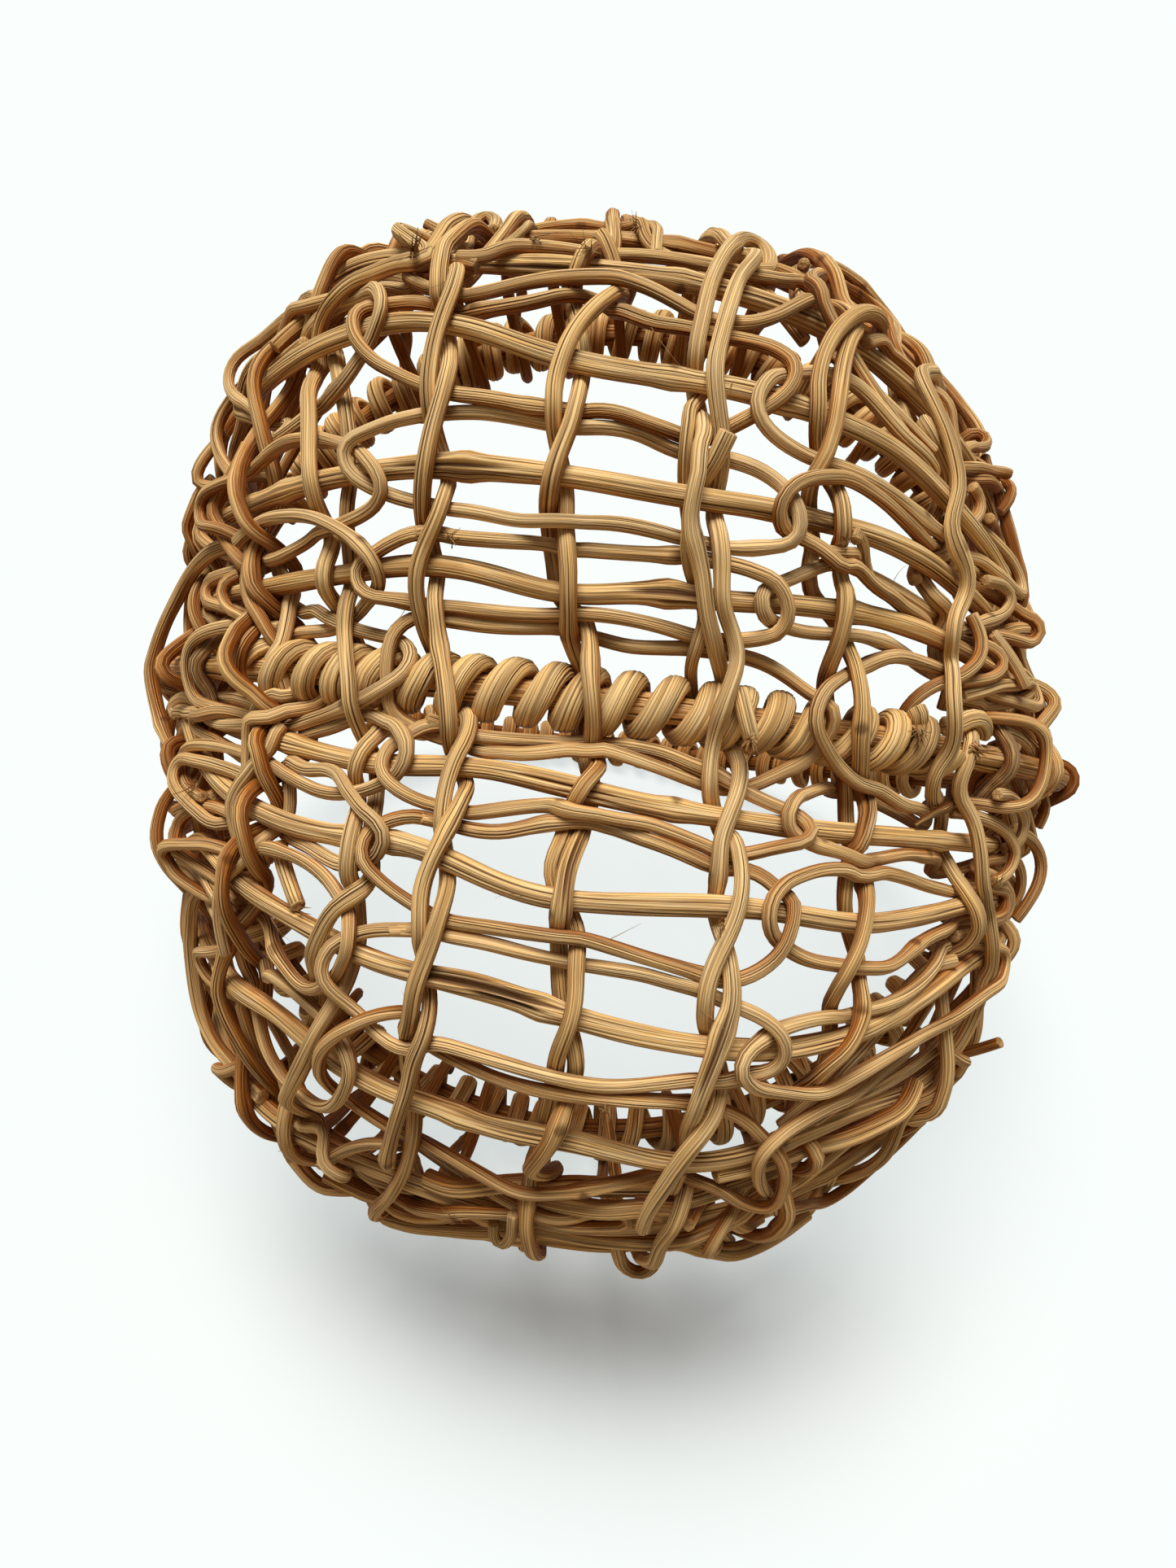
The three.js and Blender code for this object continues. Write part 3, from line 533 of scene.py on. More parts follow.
def cubes_of_distance(ways):
    """For each direction, its distance from each known direction, cubed, then one, then itself."""
    gaps = np.sqrt(np.maximum(2 - 2 * ways @ bowl_ways.T, 0))
    return np.concatenate([gaps**3, np.ones((len(ways), 1)), ways], axis=1)


known = len(bowl_ways)
system = np.zeros((known + 4, known + 4))
system[:known] = cubes_of_distance(bowl_ways)
system[known:, :known] = system[:known, known:].T
system[np.arange(known), np.arange(known)] += BOWL_EASE
bowl_weights = np.linalg.solve(system, np.concatenate([bowl_reach, np.zeros(4)]))


def on_bowl(seen):
    """Where sight through each (x, y, lift) meets the bowl grown by that lift, or passes closest."""
    seen = np.asarray(seen, float)
    along = sight(seen[:, :2])
    near = (SIGHT_FROM - CAMERA_AT[2]) / along[:, 2]
    walk = np.linspace(0, 1, SIGHT_POINTS)[None, :] * (SIGHT_SPAN / -along[:, 2])[:, None] + near[:, None]
    places = CAMERA_AT + along[:, None] * walk[..., None]
    ways = places - BOWL_MIDDLE
    reach = np.linalg.norm(ways, axis=-1)
    ways /= reach[..., None]
    grown = (cubes_of_distance(ways.reshape(-1, 3)) @ bowl_weights).reshape(reach.shape) + seen[:, 2:3]
    above = reach - grown
    inside = above < 0
    meets = inside.any(1)
    step = np.where(meets, np.argmax(inside, axis=1), np.argmin(above, axis=1))
    row = np.arange(len(seen))
    before = above[row, np.maximum(step - 1, 0)]
    share = np.where(meets, before / np.maximum(before - above[row, step], 1e-9), 1.0)
    at = walk[row, np.maximum(step - 1, 0)] * (1 - share) + walk[row, step] * share
    place = CAMERA_AT + along * at[:, None]
    missed = place - BOWL_MIDDLE
    size = np.linalg.norm(missed, axis=1)
    pulled = BOWL_MIDDLE + missed * (grown[row, step] / size)[:, None]
    return np.where(meets[:, None], place, pulled)


middle_seen = seen_at(on_handle(np.zeros(1), HANDLE_RADIUS))
crown = on_bowl(np.append(middle_seen, [[0.0]], axis=1))[0]
print("the bowl's crown is seen at", middle_seen[0].round(), "and rises", round(float(crown[2]), 1), "mm")

# %% [markdown]
# Each line below is a strand's name and its course, as it is seen on the photograph: across and down in
# pixels, and how far outside or inside the bowl it runs, in millimetres. A column goes from rim to rim
# and back, so it has two stretches, with a bar between them. Where a stretch starts or ends inside a
# strand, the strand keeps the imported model's course beyond it.

# %% Courses read off the photograph
def strands_in(text):
    """{name: course} of the strands that a text holds. Each starts with its name and a colon."""
    parts = re.split(r"(\w+):", text)[1:]
    return dict(zip(parts[::2], parts[1::2]))


SEEN_COURSES = {name: text.split("|") for name, text in strands_in("""
rib_upper_1: 260,743,0 287,729,0 323,724,0 357,716,0 396,710,0 440,703,0 496,694,0 540,694,0 596,704,0
651,722,0 693,732,0 734,732,0 775,728,0 818,728,0 846,732,0 887,740,0 946,741,0 1001,746,0 1057,754,0
1112,768,0 1154,785,0 1190,805,0
rib_upper_2: 298,627,0 329,613,0 357,602,0 396,590,0 440,582,0 496,574,0 540,571,0 623,577,0 707,586,0
790,601,0 873,615,0 946,625,0 1001,639,0 1057,652,0 1112,674,0 1150,697,0 1180,724,0
rib_upper_3: 309,493,0 340,460,0 370,438,0 401,421,0 440,407,0 482,396,0 523,394,0 590,405,0 640,424,0
680,438,0 720,448,0 800,461,0 860,470,0 920,480,0 950,490,0 1000,505,0 1050,525,0 1100,552,0 1140,590,0
1165,616,0 1186,640,0
rib_lower_1: 346,910,0 371,918,0 412,929,0 440,936,0 496,941,0 540,940,0 596,943,0 651,954,0 707,968,0
762,982,0 818,993,0 873,1002,0 940,1012,0 1001,1021,0 1057,1025,0 1112,1029,0 1168,1034,0 1210,1037,0
rib_lower_2: 232,880,0 237,904,0 246,925,0 252,938,0 273,966,0 301,988,0 329,1002,0 357,1014,0 396,1024,0
440,1030,0 484,1034,0 523,1043,0 551,1056,0 596,1079,0 637,1096,0 679,1106,0 734,1110,0 790,1112,0
873,1113,0 940,1118,0 973,1124,0 1015,1131,0 1057,1137,0 1098,1132,0 1140,1124,0 1182,1113,0 1210,1105,0
rib_lower_3: 248,1027,0 268,1056,0 301,1089,0 329,1110,0 357,1127,0 401,1152,0 440,1173,0 468,1185,0
509,1196,0 545,1203,0 582,1210,0 623,1222,0 665,1238,0 707,1251,0 762,1267,0 818,1279,0 873,1288,0
959,1291,0 1001,1283,0 1057,1269,0 1084,1257,0 1112,1238,0 1154,1209,0 1190,1182,0
rib_lower_4: 284,1208,0 315,1230,0 343,1246,0 371,1272,0 398,1296,0 432,1318,0 468,1338,0 496,1349,0
537,1359,0 596,1383,0 651,1394,0 707,1402,0 762,1417,0 818,1429,0 873,1429,0 925,1416,0 962,1402,0
1001,1385,0 1046,1366,0 1084,1352,0 1126,1334,0 1154,1305,0 1176,1278,0
column_3: 529,329,6 495,332,7 468,343,6 440,354,5 412,371,6 395,388,4 384,410,2 382,454,-4 382,482,0
384,520,2 383,560,4 384,588,6 390,621,2 400,645,-4 407,665,0 404,685,3 401,712,6 407,738,2 418,765,-4
430,790,-8 450,830,-12 466,862,-9 468,888,0 450,914,3 439,936,5 434,957,2 438,978,-4 440,996,2 437,1030,6
434,1062,3 440,1090,-4 440,1130,-4 436,1170,-6 426,1208,-2 405,1248,2 383,1290,5 366,1322,5 359,1345,3 |
385,395,-3 398,430,-5 410,480,-3 420,540,-3 422,575,-5 418,600,-2 416,632,0 419,660,-3 424,690,-5 428,715,-5
430,750,2 430,778,2 432,808,9 435,838,12 438,872,10 444,910,2 453,940,-4 454,975,-4 449,1000,-3 448,1035,-5
452,1070,-3 450,1090,0 436,1104,3 412,1135,4 397,1165,4 390,1190,2 388,1230,-2 380,1270,-4
column_4: 590,280,4 563,297,6 547,328,5 537,368,5 539,400,-4 545,427,-3 547,460,3 537,496,4 527,538,5
522,572,6 519,600,4 519,618,3 521,640,-3 527,668,-4 534,700,-5 536,730,1 538,754,4 543,796,5 549,824,10
556,860,12 561,893,10 566,915,-2 574,938,-6 579,954,-1 573,980,4 559,1004,5 543,1036,6 527,1071,4 519,1098,4
518,1138,4 517,1168,-2 521,1200,-6 527,1229,-2 523,1268,5 509,1302,5 503,1330,5 493,1360,6 482,1397,4
478,1430,4 | 468,1488,3 484,1458,4 503,1418,0 509,1385,-3 508,1355,-6 500,1320,-4 498,1285,-4 504,1250,3
511,1208,6 524,1172,5 536,1135,5 546,1100,3 549,1075,-2 546,1054,-6 543,1030,-3 544,1005,3 549,971,4
560,938,6 577,908,5 592,882,2 580,862,-10 555,832,-12 535,803,-9 526,782,-3 518,754,3 512,727,5 513,697,6
522,668,4 532,645,5 543,615,3 548,590,-2 543,562,-5 533,530,-3 528,499,3 527,471,5 533,427,5 545,388,5
563,343,6 563,325,6
column_5: 662,1449,-3 668,1425,-5 671,1400,-6 673,1374,-4 679,1347,-4 682,1319,-3 687,1291,3 698,1263,5
706,1235,6 707,1200,3 708,1175,4 708,1148,-3 701,1127,-4 690,1110,-5 680,1092,-2 675,1072,0 680,1050,2
690,1030,0 695,1008,-5 700,987,0 708,970,5 720,952,6 735,938,3 728,918,-3 729,890,7 727,860,12 724,835,11
723,810,6 722,785,2 712,765,-4 693,750,-4 683,735,-6 680,700,-2 676,665,-4 675,635,-3 676,600,4 680,572,6
690,540,3 706,490,2 712,465,-3 718,430,-4 716,405,-3 712,380,-4 710,358,-3 712,338,5 720,321,7 735,308,6 |
756,352,-3 745,366,2 724,384,5 705,408,5 690,440,5 682,468,3 680,490,5 681,515,3 686,545,-2 693,578,-5
697,602,-2 698,635,0 699,655,-4 700,675,2 702,700,4 701,730,6 701,755,3 700,778,-4 704,797,-3 708,815,-6
713,835,-11 717,860,-12 718,890,-10 720,915,-6 727,940,-3 730,962,-6 725,985,-4 718,1003,-4 712,1024,3
704,1045,4 698,1065,4 695,1096,5 693,1115,6 690,1132,3 689,1150,-3 690,1175,-4 690,1200,-3 692,1232,-6
697,1255,-6 704,1274,-3 708,1300,0 707,1319,-3 701,1342,-3 693,1362,3 679,1397,6 659,1424,5 643,1447,3
column_6: 941,338,2 946,320,5 937,304,7 920,295,8 900,302,8 885,322,7 872,355,6 864,395,5 859,440,4
863,470,-5 862,505,-3 866,540,3 868,568,4 861,592,6 855,615,6 850,645,5 857,672,5 865,700,5 870,735,6
876,782,5 884,815,0 889,840,-9 891,870,-12 893,895,-7 900,918,-2 911,936,3 910,965,5 900,995,6 890,1022,5
887,1054,5 885,1090,0 882,1112,-5 883,1130,-3 888,1145,-2 898,1176,2 901,1208,4 901,1236,4 891,1263,5
882,1291,6 869,1324,5 857,1358,5 844,1391,-2 838,1418,-6 833,1455,-3 823,1486,4 | 790,1499,6 798,1480,6
818,1452,6 837,1424,6 859,1397,6 879,1369,2 884,1347,-3 884,1319,-3 876,1290,-6 868,1268,-3 865,1236,2
868,1208,4 879,1179,4 893,1152,4 904,1127,5 912,1096,6 912,1060,4 903,1030,2 890,1008,-4 881,985,-2
876,960,5 876,929,5 881,900,7 889,870,12 899,838,11 906,810,6 901,782,4 890,756,2 883,735,5 884,705,3
884,668,3 878,635,-2 877,605,-6 882,575,-2 882,540,0 878,500,3 874,462,5 880,430,3 890,395,5 905,350,6
925,315,6
column_7: 1046,402,4 1036,425,5 1028,450,3 1025,475,2 1022,497,5 1018,520,3 1012,550,2 1002,575,0 996,598,0
999,618,-5 1005,645,-6 1013,668,-3 1016,688,-3 1010,708,0 1011,725,-2 1022,742,-6 1036,760,-4 1043,774,-2
1048,796,3 1054,824,8 1057,850,12 1054,880,12 1049,902,10 1048,940,3 1051,958,-4 1060,968,0 1066,985,3
1062,1016,6 1056,1036,3 1050,1055,-4 1045,1075,0 1043,1104,-2 1045,1130,-6 1052,1152,-4 1062,1178,-2
1062,1202,3 1065,1230,4 1057,1263,6 1040,1291,6 1023,1311,5 1010,1332,2 985,1365,-4 | 1012,1335,-3
1021,1310,-5 1026,1282,-6 1026,1255,-4 1029,1230,0 1035,1205,3 1046,1180,5 1057,1157,6 1062,1132,6
1068,1104,5 1068,1077,3 1060,1052,-3 1050,1035,-4 1046,1010,-5 1046,971,-2 1044,945,-5 1040,915,-10
1030,880,-12 1021,850,-8 1020,827,0 1026,802,2 1032,777,4 1037,754,6 1039,730,5 1030,708,2 1024,690,-3
1026,672,3 1031,648,6 1034,620,6 1031,600,3 1022,580,-3 1012,560,-2 1008,530,2 1005,500,5 1004,470,4
1010,440,5 1022,417,7 1040,402,8 1060,402,7 1072,415,5 1070,430,1
column_8: 1120,475,3 1145,520,4 1162,560,4 1172,600,4 1167,630,4 1163,652,4 1176,682,5 1187,710,6 1180,738,4
1168,762,5 1165,785,5 1160,815,0 1165,842,6 1168,866,12 1172,895,12 1167,925,8 1151,945,4 1147,971,3
1152,995,-3 1156,1025,-5 1160,1060,-3 | 1170,1290,3 1195,1240,4 1205,1190,3 1204,1150,3 1196,1120,0
1192,1095,4 1193,1060,6 1190,1027,6 1180,999,5 1163,975,4 1172,935,6 1180,895,-4 1175,860,-8 1160,830,-6
1150,800,-5 1152,770,-4 1157,749,-3 1146,727,0 1140,704,-2 1142,670,-4 1150,640,-4 1158,600,-3 1150,560,0
1130,520,2
link_upper_4_middle: 585,326,4 560,322,5 535,325,4 510,335,3 497,344,3 505,354,3 525,366,3 550,370,2
575,368,2 600,362,2 640,352,2 690,345,3 740,347,3 790,356,2 830,372,2 870,390,2 905,398,3 945,393,3
975,381,3 1000,374,4 1008,366,4 1003,355,4 985,348,3 955,348,2 920,343,1 880,331,1 840,322,1 800,315,1
760,312,1 700,312,1 650,316,1 610,322,1
link_upper_4_left: 514,338,3 500,330,1 470,325,1 440,330,1 410,345,1 380,365,1 352,385,1 330,398,2 320,405,2
322,415,2 335,418,1 360,402,1 390,383,1 420,368,1 450,355,1 480,347,2 505,347,3
link_upper_4_right: 1140,570,0 1110,530,1 1085,495,1 1060,460,1 1040,430,2 1020,405,3 1000,384,4 989,371,4
985,360,4 995,353,4 1020,357,2 1050,372,1 1075,390,1 1090,415,1 1100,442,0
link_upper_3_left: 404,382,1 434,368,2 457,364,3 471,371,4 473,388,4 465,404,2 446,432,1 426,460,1 407,482,1
384,502,-2 357,527,1 340,541,1
link_upper_3_middle: 545,388,-3 530,379,1 479,377,1 457,382,2 443,393,3 441,410,3 448,429,2 465,449,0
487,460,-1 518,474,0 552,482,0 600,491,2 640,499,3 680,504,3 715,506,-3 745,506,2 770,511,2 800,521,2
835,528,0 868,530,-4 900,518,0 930,505,2 955,492,3 970,475,4 968,455,3 955,438,2 930,425,1 890,412,0
840,396,2 800,387,3 770,370,3 740,358,-3 690,357,2 650,370,3 600,382,1 556,393,-3
link_upper_3_right: 1154,663,0 1140,652,0 1112,624,0 1084,602,1 1057,588,1 1015,574,0 982,560,1 955,543,2
935,523,3 928,503,4 937,482,4 955,466,3 980,457,2 1010,455,2 1040,462,2 1062,480,1 1080,503,1 1105,538,1
1128,563,1 1150,582,0
link_upper_2_left: 300,586,1 318,568,1 345,543,1 368,536,1 393,538,-3 418,545,0 440,556,1 457,572,3
472,590,4 476,608,4 467,624,3 446,638,2 412,654,1 384,668,-2 357,677,1 335,680,1
link_upper_2_middle: 541,511,-3 520,516,1 490,524,1 462,538,2 440,552,3 432,566,4 434,582,4 448,599,4
468,610,1 496,621,0 518,627,-3 551,629,0 582,632,1 623,640,2 646,643,3 665,641,4 707,643,-2 762,643,2
818,652,1 845,658,-3 868,663,-2 901,670,1 940,668,2 962,666,3 973,659,5 977,643,5 971,624,5 959,602,1
940,585,0 918,571,0 890,562,0 860,552,-4 835,543,-2 800,526,0 780,518,0 745,513,1 715,515,-3 680,512,-1
640,507,0 600,503,0 551,509,-3
link_upper_2_right: 1154,776,0 1135,768,0 1112,757,0 1096,741,1 1071,724,2 1051,702,2 1029,685,3 1009,674,2
984,660,1 965,652,1 954,635,3 957,613,5 973,596,5 1001,588,3 1029,591,2 1057,602,2 1090,624,2 1121,652,1
1145,675,0
link_upper_1_left: 310,672,0 332,652,1 346,645,2 368,640,2 390,640,3 412,646,3 434,657,2 454,674,2 467,690,4
468,710,4 460,726,2 440,740,1 418,755,-3 396,766,1 371,774,1 357,780,0 330,790,0
link_upper_1_middle: 528,645,-3 509,647,1 496,654,1 468,674,1 451,691,1 446,704,2 451,718,4 468,729,4
496,733,2 515,740,-2 543,744,-1 596,754,1 651,762,2 696,764,-1 734,762,3 776,766,2 818,774,1 848,782,-3
880,786,-4 907,782,0 932,777,1 948,768,2 959,752,4 957,732,4 940,716,2 918,702,1 890,694,0 868,689,-4
832,685,1 800,680,2 762,674,2 707,663,-2 673,657,-3 640,657,2 596,656,1 552,652,-2
link_upper_1_right: 1170,838,-1 1154,829,0 1140,821,0 1112,804,0 1084,796,2 1029,793,3 1001,788,1 973,779,1
951,766,2 938,749,4 933,731,4 941,720,3 960,713,0 985,703,0 1009,693,0 1032,688,-3 1060,700,-4 1100,725,-4
1135,750,-3
link_spine_left: 335,745,0 359,752,1 379,749,1 401,763,1 426,774,2 450,783,1 475,790,1 496,799,2 505,815,5
498,832,7 468,854,9 440,869,9 412,880,6 384,889,1 362,892,0 340,885,0
link_spine_middle: 530,765,-3 509,764,1 493,777,2 484,796,4 481,815,5 486,838,6 495,858,3 515,882,0
540,900,-2 573,918,-2 623,928,2 665,925,2 700,919,-2 734,918,1 779,929,2 818,941,1 868,956,-3 895,962,-4
921,957,0 946,944,1 968,932,2 994,915,4 1009,902,6 1017,888,8 1014,872,8 1003,862,5 987,852,3 959,829,1
932,813,0 909,807,-2 880,802,-4 846,799,-2 807,796,1 776,793,2 734,779,-3 696,768,-3 651,768,2 596,768,1
552,764,0
link_spine_right: 1165,832,0 1140,818,0 1112,808,1 1098,805,2 1084,806,2 1057,818,-3 1029,832,2 1009,849,5
996,866,9 992,885,10 1001,905,7 1023,935,2 1046,954,3 1079,971,1 1107,988,1 1134,993,0 1150,1000,-2
link_lower_1_left: 350,912,0 368,903,0 390,900,1 412,896,1 440,888,1 468,890,1 490,902,2 504,916,4 505,932,4
494,949,2 476,960,1 457,968,1 434,974,1 398,972,1 382,966,1 357,955,1 335,945,1
link_lower_1_middle: 551,888,-3 523,888,1 501,902,2 484,916,2 478,938,3 484,963,4 509,982,2 535,991,-2
560,995,-3 590,996,1 640,992,2 679,991,-2 705,997,3 740,1006,3 770,1014,2 800,1018,1 830,1025,0 870,1034,-3
907,1039,0 937,1033,1 968,1028,3 983,1022,4 982,1012,4 971,1003,2 946,990,1 915,977,0 890,962,-4 868,948,-3
846,938,0 818,921,0 779,907,0 737,899,-4 710,903,-3 651,905,0 590,903,0 562,893,-3
link_lower_1_right: 1160,1052,-2 1126,1043,0 1101,1043,1 1068,1049,-2 1046,1046,2 1023,1041,2 996,1035,1
976,1027,1 965,1013,3 971,999,4 982,988,3 1001,977,1 1023,966,0 1043,962,-4 1065,966,-3 1090,978,-2
1120,995,-3 1145,1008,-3
link_lower_2_left: 345,940,0 362,948,1 379,954,2 398,953,3 420,957,2 434,977,1 448,999,1 462,1017,4
476,1026,5 479,1040,4 468,1055,1 452,1070,-2 430,1078,0 400,1062,1 375,1042,1 352,1028,-1 330,1008,-5
314,990,-8
link_lower_2_middle: 543,1012,-3 518,1004,1 496,1007,2 478,1014,2 462,1024,2 452,1040,4 456,1062,4
470,1080,1 490,1097,0 512,1112,-3 546,1130,-2 596,1138,1 651,1146,2 707,1154,2 748,1166,2 790,1180,2
823,1190,2 854,1200,-3 885,1209,-3 909,1205,0 940,1186,1 957,1166,4 966,1141,5 971,1118,4 966,1099,2
952,1086,2 940,1074,1 921,1063,0 895,1058,-4 875,1057,-3 850,1046,1 810,1030,2 770,1018,0 718,1014,0
679,1013,1 651,1018,1 618,1025,1 575,1022,-1
link_lower_2_right: 1185,1105,-2 1165,1096,1 1140,1088,1 1107,1074,1 1084,1066,1 1057,1060,2 1015,1063,2
982,1077,2 954,1096,3 943,1116,5 943,1135,5 948,1154,3 962,1168,1 982,1182,1 1015,1193,1 1057,1199,2
1093,1193,2 1118,1172,2 1140,1157,1 1165,1150,0
link_lower_3_left: 320,1038,0 343,1040,1 384,1057,2 407,1077,2 423,1102,2 433,1127,3 434,1154,5 427,1174,4
416,1192,2 405,1205,1 390,1211,1 373,1207,1 357,1190,0 340,1170,0
link_lower_3_middle: 520,1148,-3 480,1143,0 450,1142,1 430,1146,2 410,1159,3 399,1177,4 405,1195,4
420,1214,2 440,1238,1 462,1260,1 487,1275,1 510,1279,-3 535,1275,1 582,1291,1 623,1305,2 679,1322,3
734,1333,3 776,1333,2 832,1327,0 859,1324,-3 885,1327,-3 909,1322,0 935,1317,1 952,1306,2 960,1287,4
952,1264,4 932,1247,2 912,1238,1 887,1228,-3 859,1214,-2 823,1204,1 790,1194,2 745,1186,2 707,1179,-3
651,1171,1 596,1160,1 540,1153,-1
link_lower_3_right: 1150,1195,0 1120,1222,0 1084,1236,0 1051,1241,-3 1001,1247,1 959,1261,2 926,1280,3
908,1297,5 907,1311,5 918,1322,3 959,1333,2 1007,1338,2 1043,1322,2 1084,1299,2 1126,1274,2 1168,1244,1
link_lower_4_left: 309,1238,0 315,1260,0 326,1291,1 346,1322,1 368,1344,2 390,1358,3 409,1356,3 425,1338,4
432,1310,4 425,1287,3 410,1266,1 384,1236,0 357,1213,0 334,1197,0
link_lower_4_middle: 510,1262,-3 493,1257,0 462,1255,1 440,1261,2 418,1272,4 401,1288,5 397,1308,4
402,1326,2 412,1342,1 426,1352,0 450,1370,0 478,1388,0 505,1400,-4 545,1418,0 590,1440,0 637,1461,0
696,1464,0 760,1458,0 810,1452,-3 870,1457,0 918,1468,1 944,1464,3 957,1447,4 959,1424,4 948,1406,2
932,1392,1 912,1373,0 885,1363,-4 851,1358,-3 818,1355,2 762,1352,3 707,1347,3 651,1338,2 596,1322,1
540,1299,0 518,1288,-4
link_lower_4_right: 1085,1312,-2 1060,1330,-1 1035,1345,0 1007,1352,0 982,1369,1 962,1383,3 944,1400,5
931,1418,5 930,1442,5 942,1461,2 957,1474,0 985,1475,0 1015,1471,0 1043,1460,0 1071,1440,0 1101,1413,0
1134,1387,0 1157,1373,0
link_lower_5_middle: 480,1408,2 451,1405,2 420,1410,2 402,1420,3 398,1431,3 407,1441,3 430,1448,1 470,1462,0
520,1478,0 580,1480,2 640,1487,0 700,1500,0 780,1495,0
""").items()}
print(len(SEEN_COURSES), "courses, with", sum(map(len, SEEN_COURSES.values())), "stretches")

# %% [markdown]
# At both rims and both ears the real basket has many more vines than its nine columns: tucked ends,
# doubled strands and loose loops, one beside another. Those that show best are added here, each with its
# radius in millimetres and then its course, written as above.

